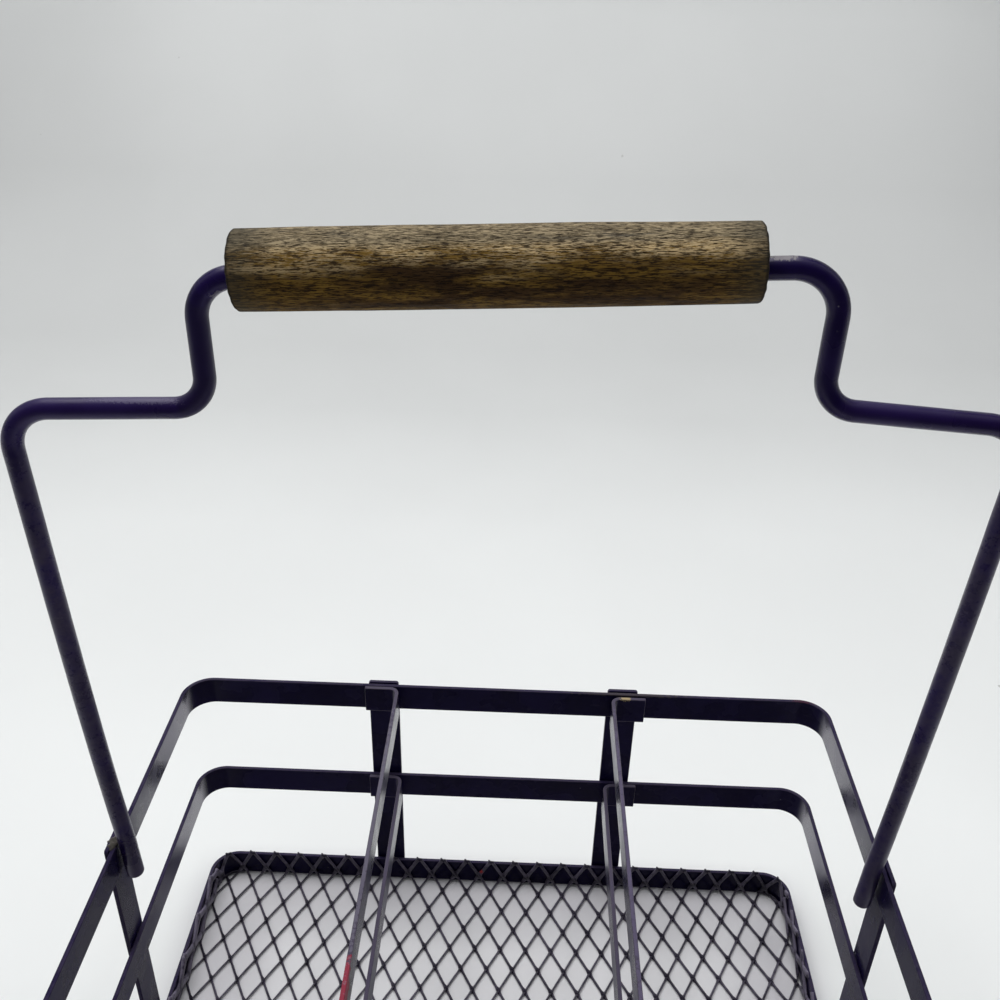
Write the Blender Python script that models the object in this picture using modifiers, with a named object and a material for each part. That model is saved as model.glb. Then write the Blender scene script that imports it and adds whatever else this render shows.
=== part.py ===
"""Utensil caddy: a strap-steel frame with an expanded-metal tray, three compartments and a stepped
wire bail that carries a wooden grip.

Metres, +Z up, +X to the right and +Y to the back. The origin is on the table under the middle of
the rings.
"""

import math

import bmesh
import bpy
from mathutils import Matrix, Vector

# Rings: three flat straps on edge, all bent to one rounded rectangle
CADDY_LENGTH = 0.265          # outside of the rings along X
CADDY_DEPTH = 0.174           # outside of the rings along Y
CORNER_RADIUS = 0.0115        # outside of a ring's corner
STRAP_HEIGHT = 0.012
STRAP_THICKNESS = 0.0015
MIDDLE_RING_BOTTOM = 0.054
TOP_RING_BOTTOM = 0.104
CORNER_STEPS = 8              # facets in a ring's corner
WELD_GAP = 0.0003             # between faces that are welded together

# Uprights: flat straps that stand outside the rings
UPRIGHT_WIDTH = 0.0125
UPRIGHT_RISE = 0.0005         # the part of an upright above the top ring's edge
UPRIGHT_SPACING = 0.0997      # between the middles of a left and a right upright
UPRIGHT_SHIFT = -0.00095      # both pairs were set a little to the left
UPRIGHT_EDGE_ROUND = 0.0003

# Dividers: straps on edge from front to back, with a bent tab at each end
DIVIDER_OFFSET = 0.0447       # middle of a blade from the caddy's middle plane
DIVIDER_TAB_REACH = 0.0135    # end of a tab from the middle of its blade
DIVIDER_BEND_RADIUS = 0.003   # on the strap's middle line
DIVIDER_BEND_STEPS = 4
TOP_RIGHT_DIVIDER_DROP = 0.0008   # this one was welded lower, so its tab shows under the ring

# Expanded-metal tray: one sheet whose edge is folded up inside the base ring
MESH_SHORT_WAY = 0.0111       # from bond to bond along X
MESH_LONG_WAY = 0.020         # from bond to bond along Y
MESH_STRAND = 0.0011
MESH_THICKNESS = 0.001
MESH_CLEARANCE = 0.0003       # floor of the tray above the table
MESH_RIM_TOP = 0.0147         # top of the folded edge above the table
MESH_CORNER_WEB = 0.0008      # solid metal left where a corner of the sheet is folded
MESH_CORNER_STEPS = 4         # facets in a corner of the sheet
MESH_SMALLEST_GAP = 0.0022    # openings of the floor narrower than this are closed
MESH_SMALLEST_WALL_GAP = 0.0055    # and those of the folded edge narrower than this
MESH_BOND_X = 0.0015          # place of one bond of the pattern
MESH_BOND_Y = 0.0084

# Handle bail: one round wire, bent by hand, so its two sides differ by some millimetres
WIRE_DIAMETER = 0.006
WIRE_END_ROUND = 0.0014
LEG_TAIL = {"left": 0.0031, "right": 0.0043}      # the wire's end below the top ring
LEG_TAIL_LEAN = 0.040         # outward slope of a leg where it is welded to the top ring
LEG_SPREAD = {"left": 0.0023, "right": 0.0022}    # by how much more a leg bows outward low down
LEG_SPREAD_HEIGHT = {"left": 0.052, "right": 0.076}   # height in which most of that is made
LEG_LEAN = {"left": 0.037, "right": 0.040}        # outward slope of a leg above the bow
LEG_FORWARD = {"left": 0.0013, "right": 0.0005}   # a leg's foot in front of the bail's plane
LEG_STEPS = 9
SHOULDER_OUTER_Z = {"left": 0.2794, "right": 0.2837}
SHOULDER_INNER_Z = {"left": 0.2818, "right": 0.2876}
RISER_OFFSET = 0.0802         # middle of a riser from the middle plane
SHOULDER_BEND_RADIUS = 0.0125
SHOULDER_BEND_REACH = 1.1     # start of that bend below its corner, in bend radii
RISER_BEND_RADIUS = 0.0096
GRIP_BEND_RADIUS = {"left": 0.0115, "right": 0.0125}
WIRE_BEND_STEPS = 8

# Wooden grip: a turned dowel that spins on the wire
GRIP_LENGTH = 0.1285
GRIP_MIDDLE_DIAMETER = 0.0204
GRIP_END_DIAMETER = {"left": 0.0202, "right": 0.0196}
GRIP_END_ROUND = 0.0007
GRIP_SLIDE = -0.0047         # the grip has slid this far from the middle plane
GRIP_LINE_Z = 0.32117         # height of the wire's line at the middle plane
GRIP_TILT = math.radians(2.7)     # the right end is the higher one
BORE_CLEARANCE = 0.0006       # between the wire and the bore
BORE_OFF_CENTRE = 0.0015      # the bore was drilled this far below the middle of the dowel
BORE_CHAMFER = 0.0005
GRIP_STEPS = 32
GRIP_STATIONS = 7

SIDES = {"left": -1, "right": 1}
FRAME_TOP = TOP_RING_BOTTOM + STRAP_HEIGHT
RING_INNER_X = CADDY_LENGTH / 2 - STRAP_THICKNESS
RING_INNER_Y = CADDY_DEPTH / 2 - STRAP_THICKNESS
RING_INNER_RADIUS = CORNER_RADIUS - STRAP_THICKNESS
MESH_MIDDLE_Z = MESH_CLEARANCE + MESH_THICKNESS / 2
CUT_MARGIN = 0.0004           # the reach of a cutter past the faces it cuts
CUT_NEAREST = MESH_STRAND / 8 # corners of a cutter nearer than this become one
SHARPEST_MITRE = 0.5          # least cosine that widens a strap at a corner of its path


def clear_scene():
    """Remove what the file holds, so that the script can run again."""
    for item in list(bpy.data.objects):
        bpy.data.objects.remove(item, do_unlink=True)
    for group in list(bpy.data.collections):
        bpy.data.collections.remove(group)


def new_collection(name):
    """Add a collection to the scene."""
    group = bpy.data.collections.new(name)
    bpy.context.scene.collection.children.link(group)
    return group


def make_material(name, colour, roughness, metallic):
    """A Principled material with one colour."""
    material = bpy.data.materials.new(name)
    material.use_nodes = True
    shader = material.node_tree.nodes["Principled BSDF"]
    shader.inputs["Base Color"].default_value = (*colour, 1.0)
    shader.inputs["Roughness"].default_value = roughness
    shader.inputs["Metallic"].default_value = metallic
    return material


def paint(name):
    """The dark violet powder coat of the steel pieces."""
    return make_material(f"{name}_paint", (0.016, 0.012, 0.034), 0.32, 0.0)


def stained_wood(name):
    """The dark stain of the grip."""
    return make_material(f"{name}_stain", (0.150, 0.088, 0.045), 0.62, 0.0)


def add_object(name, data, group, material, location=(0.0, 0.0, 0.0)):
    """Place one piece in its collection with its own material."""
    piece = bpy.data.objects.new(name, data)
    piece.location = location
    data.materials.append(material)
    group.objects.link(piece)
    return piece


def arc_points(centre, radius, start, end, steps):
    """Points on a circle from one angle to another, in radians, both ends included."""
    angles = [start + (end - start) * i / steps for i in range(steps + 1)]
    return [(centre[0] + radius * math.cos(a), centre[1] + radius * math.sin(a)) for a in angles]


def rounded_rectangle(half_x, half_y, radius, steps=CORNER_STEPS):
    """Outline of a rectangle with round corners, anticlockwise from the right side."""
    corners = [(1, 1), (-1, 1), (-1, -1), (1, -1)]
    points = []
    for turn, (sx, sy) in enumerate(corners):
        centre = (sx * (half_x - radius), sy * (half_y - radius))
        start = turn * math.pi / 2
        points += arc_points(centre, radius, start, start + math.pi / 2, steps)
    return points


def fillet_path(points, radii, steps):
    """Round the inner points of an open path, each with its own radius."""
    path = [Vector(points[0])]
    for before, corner, after, radius in zip(points, points[1:], points[2:], radii):
        corner = Vector(corner)
        inward = (Vector(before) - corner).normalized()
        outward = (Vector(after) - corner).normalized()
        half = inward.angle(outward) / 2
        centre = corner + (inward + outward).normalized() * (radius / math.sin(half))
        start = corner + inward * (radius / math.tan(half)) - centre
        end = corner + outward * (radius / math.tan(half)) - centre
        sweep = start.angle_signed(end)
        for i in range(steps + 1):
            path.append(centre + Matrix.Rotation(-sweep * i / steps, 2) @ start)
    path.append(Vector(points[-1]))
    return path


def strap_outline(path, thickness):
    """Closed outline of a strap seen from above, half its thickness to each side of a path."""
    left = []
    right = []
    for i, point in enumerate(path):
        before = path[max(i - 1, 0)]
        after = path[min(i + 1, len(path) - 1)]
        along = (after - before).normalized()
        normal = Vector((-along.y, along.x))
        edge = along if point in (before, after) else (after - point).normalized()
        spread = thickness / 2 / max(normal.dot(Vector((-edge.y, edge.x))), SHARPEST_MITRE)
        left.append(point + normal * spread)
        right.append(point - normal * spread)
    return left + right[::-1]


def flat_curve(name, outlines, thickness):
    """A flat 2D curve of one thickness: the first outline is the edge, the others are holes."""
    curve = bpy.data.curves.new(name, "CURVE")
    curve.dimensions = "2D"
    curve.fill_mode = "BOTH"
    curve.extrude = thickness / 2
    for outline in outlines:
        spline = curve.splines.new("POLY")
        spline.points.add(len(outline) - 1)
        for point, (x, y) in zip(spline.points, outline):
            point.co = (x, y, 0.0, 1.0)
        spline.use_cyclic_u = True
    return curve


def add_rings(group):
    """The three rings, each a rounded rectangle of strap on edge."""
    bottoms = {"base_ring": 0.0, "middle_ring": MIDDLE_RING_BOTTOM, "top_ring": TOP_RING_BOTTOM}
    outer = rounded_rectangle(CADDY_LENGTH / 2, CADDY_DEPTH / 2, CORNER_RADIUS)
    inner = rounded_rectangle(RING_INNER_X, RING_INNER_Y, RING_INNER_RADIUS)
    for name, bottom in bottoms.items():
        curve = flat_curve(name, [outer, inner], STRAP_HEIGHT)
        add_object(name, curve, group, paint(name), (0.0, 0.0, bottom + STRAP_HEIGHT / 2))


def add_upright(name, group, centre, size):
    """One upright strap, from the table to just above the top ring."""
    height = FRAME_TOP + UPRIGHT_RISE
    mesh = bpy.data.meshes.new(name)
    form = bmesh.new()
    scale = Matrix.Diagonal((size[0], size[1], height, 1.0))
    bmesh.ops.create_cube(form, size=1.0, matrix=scale)
    form.to_mesh(mesh)
    form.free()
    upright = add_object(name, mesh, group, paint(name), (centre[0], centre[1], height / 2))
    bevel = upright.modifiers.new("rounded_edges", "BEVEL")
    bevel.width = UPRIGHT_EDGE_ROUND
    bevel.segments = 1


def add_uprights(group):
    """Two uprights at the back, two at the front and one at each end."""
    outward = WELD_GAP + STRAP_THICKNESS / 2
    for row, sy in (("front", -1), ("back", 1)):
        for side, sx in SIDES.items():
            x = sx * UPRIGHT_SPACING / 2 + UPRIGHT_SHIFT
            y = sy * (CADDY_DEPTH / 2 + outward)
            add_upright(f"{row}_upright_{side}", group, (x, y), (UPRIGHT_WIDTH, STRAP_THICKNESS))
    for side, sx in SIDES.items():
        x = sx * (CADDY_LENGTH / 2 + outward)
        add_upright(f"side_upright_{side}", group, (x, 0.0), (STRAP_THICKNESS, UPRIGHT_WIDTH))


def add_dividers(group):
    """A pair of dividers at the top ring and a pair at the middle ring."""
    tab_y = RING_INNER_Y - WELD_GAP - STRAP_THICKNESS / 2
    levels = {"top": TOP_RING_BOTTOM, "middle": MIDDLE_RING_BOTTOM}
    for level, bottom in levels.items():
        for side, sx in SIDES.items():
            blade_x = sx * DIVIDER_OFFSET
            end_x = sx * (DIVIDER_OFFSET + DIVIDER_TAB_REACH)
            corners = [(end_x, -tab_y), (blade_x, -tab_y), (blade_x, tab_y), (end_x, tab_y)]
            path = fillet_path(corners, [DIVIDER_BEND_RADIUS] * 2, DIVIDER_BEND_STEPS)
            outline = strap_outline(path, STRAP_THICKNESS)
            name = f"{level}_divider_{side}"
            curve = flat_curve(name, [outline], STRAP_HEIGHT)
            drop = TOP_RIGHT_DIVIDER_DROP if (level, side) == ("top", "right") else 0.0
            height = bottom + STRAP_HEIGHT / 2 - drop
            add_object(name, curve, group, paint(name), (0.0, 0.0, height))


def clip_polygon(polygon, boundary):
    """The part of a convex polygon inside a convex anticlockwise boundary."""
    for a, b in zip(boundary, boundary[1:] + boundary[:1]):
        edge = Vector(b) - Vector(a)
        if edge.length == 0.0:
            continue
        inward = Vector((-edge.y, edge.x)).normalized()
        kept = []
        for p, q in zip(polygon, polygon[1:] + polygon[:1]):
            p_depth = (p - Vector(a)).dot(inward)
            q_depth = (q - Vector(a)).dot(inward)
            if p_depth >= 0.0:
                kept.append(p)
            if p_depth * q_depth < 0.0:
                kept.append(p.lerp(q, p_depth / (p_depth - q_depth)))
        polygon = kept
        if len(polygon) < 3:
            return []
    return polygon


def polygon_width(polygon):
    """Least width of a convex polygon, measured square to each of its edges."""
    widths = []
    for a, b in zip(polygon, polygon[1:] + polygon[:1]):
        edge = b - a
        if edge.length > 0.0:
            inward = Vector((-edge.y, edge.x)).normalized()
            widths.append(max(abs((p - a).dot(inward)) for p in polygon))
    return min(widths)


def simplified(polygon, nearest):
    """The polygon without points that lie almost on one another."""
    kept = []
    for point in polygon:
        if not kept or (point - kept[-1]).length > nearest:
            kept.append(point)
    if (kept[0] - kept[-1]).length <= nearest:
        kept.pop()
    return kept


def mesh_openings(boundary, narrowest, wanted=None):
    """The diamond openings of the expanded metal that lie inside a convex boundary.

    The pattern is the one of the flat sheet. A diamond is drawn in by half a strand on every side,
    then clipped, and what is left is dropped where it is too narrow to be an opening. The wanted
    function takes a diamond's corners and says whether it is used.
    """
    half_x = MESH_SHORT_WAY / 2
    half_y = MESH_LONG_WAY / 2
    side_distance = half_x * half_y / math.hypot(half_x, half_y)
    shrink = 1.0 - MESH_STRAND / 2 / side_distance
    xs = [p[0] for p in boundary]
    ys = [p[1] for p in boundary]
    first_row = math.floor((min(ys) - MESH_BOND_Y) / half_y) - 1
    last_row = math.ceil((max(ys) - MESH_BOND_Y) / half_y) + 1
    first_column = math.floor((min(xs) - MESH_BOND_X) / MESH_SHORT_WAY) - 1
    last_column = math.ceil((max(xs) - MESH_BOND_X) / MESH_SHORT_WAY) + 1
    openings = []
    for row in range(first_row, last_row + 1):
        # A diamond stands between two bonds of its row, so even rows start half a step aside
        aside = half_x if row % 2 == 0 else 0.0
        for column in range(first_column, last_column + 1):
            centre = Vector((MESH_BOND_X + column * MESH_SHORT_WAY + aside, MESH_BOND_Y + row * half_y))
            corners = [(half_x, 0.0), (0.0, half_y), (-half_x, 0.0), (0.0, -half_y)]
            diamond = [centre + Vector(c) * shrink for c in corners]
            if wanted is not None and not wanted(diamond):
                continue
            piece = clip_polygon(diamond, boundary)
            if piece:
                piece = simplified(piece, MESH_STRAND / 2)
            if len(piece) > 2 and polygon_width(piece) > narrowest:
                openings.append(piece)
    return openings


def curve_to_mesh_object(name, curve, group, material, location):
    """Make a flat curve a closed mesh, so that it can be cut."""
    source = add_object(f"{name}_outline", curve, group, material, location)
    evaluated = source.evaluated_get(bpy.context.evaluated_depsgraph_get())
    mesh = bpy.data.meshes.new_from_object(evaluated)
    form = bmesh.new()
    form.from_mesh(mesh)
    bmesh.ops.remove_doubles(form, verts=form.verts, dist=1e-6)
    form.to_mesh(mesh)
    form.free()
    piece = bpy.data.objects.new(name, mesh)
    piece.matrix_world = source.matrix_world.copy()
    group.objects.link(piece)
    bpy.data.objects.remove(source)
    return piece


class RimPath:
    """The middle line of the tray's folded edge, measured from the middle of one long wall."""

    def __init__(self):
        inset = WELD_GAP + MESH_THICKNESS / 2
        self.radius = RING_INNER_RADIUS - inset
        self.flat_x = RING_INNER_X - RING_INNER_RADIUS
        self.flat_y = RING_INNER_Y - RING_INNER_RADIUS
        self.fold_x = RING_INNER_X - inset
        self.fold_y = RING_INNER_Y - inset
        self.corner = self.radius * math.pi / 2

    def long_wall(self, x, sy):
        """Point and outward normal on a long wall, which goes on round both of its corners."""
        beyond = abs(x) - self.flat_x
        if beyond <= 0.0:
            return Vector((x, sy * self.fold_y)), Vector((0.0, sy))
        facet = math.pi / 2 / MESH_CORNER_STEPS
        angle = beyond / self.radius
        first = math.floor(angle / facet) * facet
        side = math.copysign(1.0, x)
        ends = [Vector((side * math.sin(a), sy * math.cos(a))) for a in (first, first + facet)]
        # On a facet the normal is shortened, which keeps the point on the facet
        normal = ends[0].lerp(ends[1], (angle - first) / facet)
        return Vector((side * self.flat_x, sy * self.flat_y)) + normal * self.radius, normal

    def end_wall(self, y, sx):
        """Point and outward normal on the straight part of an end wall."""
        return Vector((sx * self.fold_x, y)), Vector((sx, 0.0))


def heights_at(polygon, along):
    """Lowest and highest point of a convex polygon at one place along the wall."""
    heights = []
    for p, q in zip(polygon, polygon[1:] + polygon[:1]):
        low, high = sorted((p, q))
        if low[0] <= along <= high[0]:
            if high[0] > low[0]:
                t = (along - low[0]) / (high[0] - low[0])
                heights.append(low[1] + t * (high[1] - low[1]))
            else:
                heights += [low[1], high[1]]
    return min(heights), max(heights)


def add_cutter(form, polygon, place, depth, folds):
    """A prism through the folded edge over a convex polygon of (along, height) points.

    It is built in strips between its own corners and the wall's folds, so that it bends round a
    corner of the wall with it.
    """
    ends = (min(p[0] for p in polygon), max(p[0] for p in polygon))
    stations = sorted({p[0] for p in polygon} | {f for f in folds if ends[0] < f < ends[1]})
    merged = [stations[0]]
    for station in stations[1:]:
        if station - merged[-1] > CUT_NEAREST:
            merged.append(station)
    merged[-1] = ends[1]
    columns = []
    for along in merged:
        point, normal = place(along)
        low, high = heights_at(polygon, along)
        heights = [low] if high - low < CUT_NEAREST else [low, high]
        column = []
        for reach in (-depth, depth):
            spot = point + normal * reach
            column.append([form.verts.new((spot.x, spot.y, z)) for z in heights])
        columns.append(column)
    for before, after in zip(columns, columns[1:]):
        for layer in (0, 1):
            form.faces.new(before[layer] + after[layer][::-1])
        for row in (0, -1):
            form.faces.new((before[0][row], before[1][row], after[1][row], after[0][row]))
    for column in (columns[0], columns[-1]):
        if len(column[0]) == 2:
            form.faces.new((column[0][0], column[0][1], column[1][1], column[1][0]))


def cutter_object(name, form, group):
    """Make a hidden cutter of the prisms in a form."""
    bmesh.ops.recalc_face_normals(form, faces=form.faces)
    mesh = bpy.data.meshes.new(name)
    form.to_mesh(mesh)
    form.free()
    cutter = bpy.data.objects.new(name, mesh)
    hide_cutter(cutter, group)
    return cutter


def hide_cutter(cutter, group):
    """Keep a cutter out of the picture, in the cutters' own collection."""
    cutter.hide_render = True
    cutter.display_type = "WIRE"
    if cutter.name not in group.objects:
        group.objects.link(cutter)


def floor_cutters(group):
    """Upright prisms for the openings of the tray's floor, which reach the folded edge."""
    form = bmesh.new()
    inset = WELD_GAP + MESH_THICKNESS + CUT_MARGIN / 2
    web = MESH_CORNER_WEB / (math.sqrt(2.0) - 1.0)
    boundary = rounded_rectangle(RING_INNER_X - inset, RING_INNER_Y - inset,
                                 RING_INNER_RADIUS - inset + web, MESH_CORNER_STEPS)
    levels = (MESH_CLEARANCE - CUT_MARGIN, MESH_CLEARANCE + MESH_THICKNESS + CUT_MARGIN)
    for piece in mesh_openings(boundary, MESH_SMALLEST_GAP):
        bottom, top = [[form.verts.new((p.x, p.y, z)) for p in piece] for z in levels]
        form.faces.new(bottom[::-1])
        form.faces.new(top)
        count = len(piece)
        for i in range(count):
            j = (i + 1) % count
            form.faces.new((bottom[i], bottom[j], top[j], top[i]))
    return cutter_object("floor_cutters", form, group)


def wall_openings(fold, half_wall, half_straight, across):
    """Openings of one wall, as (along, height) points of the sheet folded up at a line.

    Along the straight part of the wall they run down over the fold. Round a corner they stay above
    a web that joins the wall to the floor. across is 0 where the wall runs along X, else 1.
    """
    top = MESH_RIM_TOP + CUT_MARGIN - MESH_MIDDLE_Z
    over_fold = -(MESH_THICKNESS / 2 + CUT_MARGIN)
    above_web = MESH_THICKNESS / 2 + MESH_CORNER_WEB
    openings = []
    for sign in (-1, 1):
        for low, straight in ((over_fold, True), (above_web, False)):
            ends = sorted((sign * (fold + low), sign * (fold + top)))
            box = [(-half_wall, ends[0]), (half_wall, ends[0]),
                   (half_wall, ends[1]), (-half_wall, ends[1])]
            if across:
                box = [(v, u) for u, v in box][::-1]

            def wanted(diamond):
                furthest = max(abs(p[across]) for p in diamond)
                return (furthest <= half_straight) == straight

            for piece in mesh_openings(box, MESH_SMALLEST_WALL_GAP, wanted):
                points = [(p[across], MESH_MIDDLE_Z + sign * p[1 - across] - fold) for p in piece]
                openings.append((sign, points))
    return openings


def rim_cutters(group):
    """Prisms for the openings of the folded edge, where the sheet's pattern goes on over the fold."""
    path = RimPath()
    form = bmesh.new()
    depth = MESH_THICKNESS / 2 + CUT_MARGIN
    web = MESH_CORNER_WEB / 2
    corner_folds = [path.flat_x + path.corner * i / MESH_CORNER_STEPS
                    for i in range(MESH_CORNER_STEPS)]
    folds = corner_folds + [-f for f in corner_folds]
    half_long = path.flat_x + path.corner - web
    for sign, points in wall_openings(path.fold_y, half_long, path.flat_x, 0):
        add_cutter(form, points, lambda x, s=sign: path.long_wall(x, s), depth, folds)
    half_end = path.flat_y - web
    for sign, points in wall_openings(path.fold_x, half_end, half_end, 1):
        add_cutter(form, points, lambda y, s=sign: path.end_wall(y, s), depth, [])
    return cutter_object("rim_cutters", form, group)


def flat_block(name, inset, bottom, top, group, material):
    """A solid block that fills the ring's inside, less an inset, between two levels."""
    outline = rounded_rectangle(RING_INNER_X - inset, RING_INNER_Y - inset,
                                RING_INNER_RADIUS - inset, MESH_CORNER_STEPS)
    curve = flat_curve(name, [outline], top - bottom)
    place = (0.0, 0.0, (bottom + top) / 2)
    return curve_to_mesh_object(name, curve, group, material, place)


def add_mesh_tray(group, cutters):
    """The tray: one sheet with its edge folded up, cut through by the expanded metal's pattern."""
    material = paint("mesh_tray")
    tray = flat_block("mesh_tray", WELD_GAP, MESH_CLEARANCE, MESH_RIM_TOP, group, material)
    floor_top = MESH_CLEARANCE + MESH_THICKNESS
    hollow = flat_block("tray_hollow", WELD_GAP + MESH_THICKNESS, floor_top,
                        MESH_RIM_TOP + MESH_THICKNESS, cutters, material)
    hide_cutter(hollow, cutters)
    for cutter in (hollow, floor_cutters(cutters), rim_cutters(cutters)):
        cut = tray.modifiers.new(cutter.name, "BOOLEAN")
        cut.operation = "DIFFERENCE"
        cut.solver = "EXACT"
        cut.object = cutter


def grip_line(x):
    """Height of the wire's straight line through the grip."""
    return GRIP_LINE_Z + x * math.tan(GRIP_TILT)


def leg_straight(side):
    """Height above the top ring at which a leg ends and the bend of its shoulder begins."""
    return SHOULDER_OUTER_Z[side] - FRAME_TOP - SHOULDER_BEND_REACH * SHOULDER_BEND_RADIUS


def leg_points(side):
    """Points up one leg, from its cut end to the outer corner of its shoulder.

    Above the ring the leg leans outward, and it bows a little more so within the spread height.
    """
    foot = RING_INNER_X - WELD_GAP - WIRE_DIAMETER / 2
    rise = SHOULDER_OUTER_Z[side] - FRAME_TOP
    end = foot - LEG_TAIL_LEAN * (STRAP_HEIGHT + LEG_TAIL[side])
    points = [(end, TOP_RING_BOTTOM - LEG_TAIL[side])]
    straight = leg_straight(side)
    heights = [straight * (i / LEG_STEPS) ** 2 for i in range(LEG_STEPS + 1)]
    for t in heights + [rise]:
        step = LEG_SPREAD[side] * (1.0 - math.exp(-t / LEG_SPREAD_HEIGHT[side]))
        points.append((foot + step + LEG_LEAN[side] * t, FRAME_TOP + t))
    return [(SIDES[side] * x, z) for x, z in points]


def bail_path():
    """The wire's middle line in the XZ plane, from the left end to the right end."""
    halves = {}
    radii = {}
    for side, sx in SIDES.items():
        halves[side] = leg_points(side) + [(sx * RISER_OFFSET, SHOULDER_INNER_Z[side]),
                                           (sx * RISER_OFFSET, grip_line(sx * RISER_OFFSET))]
        radii[side] = [SHOULDER_BEND_RADIUS, RISER_BEND_RADIUS, GRIP_BEND_RADIUS[side]]
    return halves, radii


def leg_place(point, side):
    """A leg's point in space: the leg runs forward from the bail's plane down to its foot."""
    below = 1.0 - (point[1] - FRAME_TOP) / leg_straight(side)
    return Vector((point[0], -LEG_FORWARD[side] * below, point[1]))


def wire_middle_line():
    """Every point of the wire's middle line, with its bends rounded."""
    halves, radii = bail_path()
    legs = {side: len(points) - 3 for side, points in halves.items()}
    left = halves["left"]
    right = halves["right"]
    bends = left[legs["left"] - 1:] + right[legs["right"] - 1:][::-1]
    rounded = fillet_path(bends, radii["left"] + radii["right"][::-1], WIRE_BEND_STEPS)
    low_left = [leg_place(p, "left") for p in left[:legs["left"] - 1]]
    low_right = [leg_place(p, "right") for p in right[:legs["right"] - 1]][::-1]
    return low_left + [Vector((x, 0.0, z)) for x, z in rounded] + low_right


def add_handle_wire(group):
    """The bail: a tube along its middle line, with both cut ends rounded over."""
    line = wire_middle_line()
    widths = [1.0] * len(line)
    for end, inner in ((0, 1), (-1, -2)):
        along = (line[inner] - line[end]).normalized()
        shoulder = line[end] + along * WIRE_END_ROUND
        spot = 1 if end == 0 else len(line) - 1
        line.insert(spot, shoulder)
        widths.insert(spot, 1.0)
        widths[end] = 1.0 - WIRE_END_ROUND / (WIRE_DIAMETER / 2)
    curve = bpy.data.curves.new("handle_wire", "CURVE")
    curve.dimensions = "3D"
    curve.bevel_depth = WIRE_DIAMETER / 2
    curve.bevel_resolution = 3
    curve.use_fill_caps = True
    spline = curve.splines.new("POLY")
    spline.points.add(len(line) - 1)
    for point, place, width in zip(spline.points, line, widths):
        point.co = (*place, 1.0)
        point.radius = width
    spline.use_smooth = True
    add_object("handle_wire", curve, group, paint("handle_wire"))


def grip_profile():
    """Half section of the dowel about its own axis, down the outside from its right end."""
    half = GRIP_LENGTH / 2
    flat = half - GRIP_END_ROUND
    ends = {side: diameter / 2 for side, diameter in GRIP_END_DIAMETER.items()}
    profile = [(0.0, half)]
    rounding = arc_points((-GRIP_END_ROUND, flat), GRIP_END_ROUND, math.pi / 2, 0.0, 3)
    profile += [(ends["right"] + r, z) for r, z in rounding]
    for i in range(1, GRIP_STATIONS - 1):
        z = flat - 2 * flat * i / (GRIP_STATIONS - 1)
        straight = ends["left"] + (ends["right"] - ends["left"]) * (z + flat) / (2 * flat)
        swell = GRIP_MIDDLE_DIAMETER / 2 - (ends["left"] + ends["right"]) / 2
        profile.append((straight + swell * (1.0 - (z / flat) ** 2), z))
    profile += [(ends["left"] + r, -z) for r, z in reversed(rounding)]
    return profile + [(0.0, -half)]


def bore_profile():
    """Half section of the bore's cutter: it flares at both ends, which chamfers the bore's rims."""
    half = GRIP_LENGTH / 2
    bore = WIRE_DIAMETER / 2 + BORE_CLEARANCE
    beyond = 2 * BORE_CHAMFER
    top = [(0.0, half + beyond), (bore + BORE_CHAMFER + beyond, half + beyond),
           (bore, half - BORE_CHAMFER)]
    return top + [(r, -z) for r, z in reversed(top)]


def turned_mesh(name, profile, across=0.0):
    """A closed mesh turned from a half section, its axis moved across the origin."""
    mesh = bpy.data.meshes.new(name)
    edges = [(i, i + 1) for i in range(len(profile) - 1)]
    mesh.from_pydata([(r, 0.0, z) for r, z in profile], edges, [])
    source = bpy.data.objects.new(f"{name}_section", mesh)
    bpy.context.scene.collection.objects.link(source)
    turn = source.modifiers.new("turned", "SCREW")
    turn.axis = "Z"
    turn.angle = 2 * math.pi
    turn.steps = GRIP_STEPS
    turn.render_steps = GRIP_STEPS
    turn.use_merge_vertices = True
    turn.merge_threshold = 0.00001
    turn.use_smooth_shade = True
    evaluated = source.evaluated_get(bpy.context.evaluated_depsgraph_get())
    turned = bpy.data.meshes.new_from_object(evaluated)
    turned.transform(Matrix.Translation((across, 0.0, 0.0)))
    bpy.data.objects.remove(source)
    return turned


def add_wood_grip(group, cutters):
    """The turned grip. Its origin is on the wire's line and its Z axis runs along that line."""
    place = (GRIP_SLIDE, 0.0, grip_line(GRIP_SLIDE))
    turn = (0.0, math.pi / 2 - GRIP_TILT, 0.0)
    dowel = turned_mesh("wood_grip", grip_profile(), -BORE_OFF_CENTRE)
    grip = add_object("wood_grip", dowel, group, stained_wood("wood_grip"), place)
    grip.rotation_euler = turn
    drill = bpy.data.objects.new("bore_cutter", turned_mesh("bore_cutter", bore_profile()))
    drill.location = place
    drill.rotation_euler = turn
    drill.hide_render = True
    drill.display_type = "WIRE"
    cutters.objects.link(drill)
    bore = grip.modifiers.new("bore", "BOOLEAN")
    bore.operation = "DIFFERENCE"
    bore.solver = "EXACT"
    bore.object = drill


def main():
    """Build the caddy."""
    clear_scene()
    caddy = new_collection("utensil_caddy")
    cutters = new_collection("cutters")
    add_rings(caddy)
    add_mesh_tray(caddy, cutters)
    add_uprights(caddy)
    add_dividers(caddy)
    add_handle_wire(caddy)
    add_wood_grip(caddy, cutters)


main()
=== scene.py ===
"""Looks of the utensil caddy: a strap-steel frame, an expanded-metal tray, a wire bail and a wooden grip.

Metres, +Z up, +X to the right and +Y to the back. Every piece is worked out as a surface at its own
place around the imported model, and each finish is built from shader nodes.
"""

import logging
import math
from collections.abc import Callable, Sequence
from dataclasses import dataclass, field, replace
from enum import Enum
from functools import partialmethod
from typing import Any

import bpy
import numpy as np
from mathutils import Matrix


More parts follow.
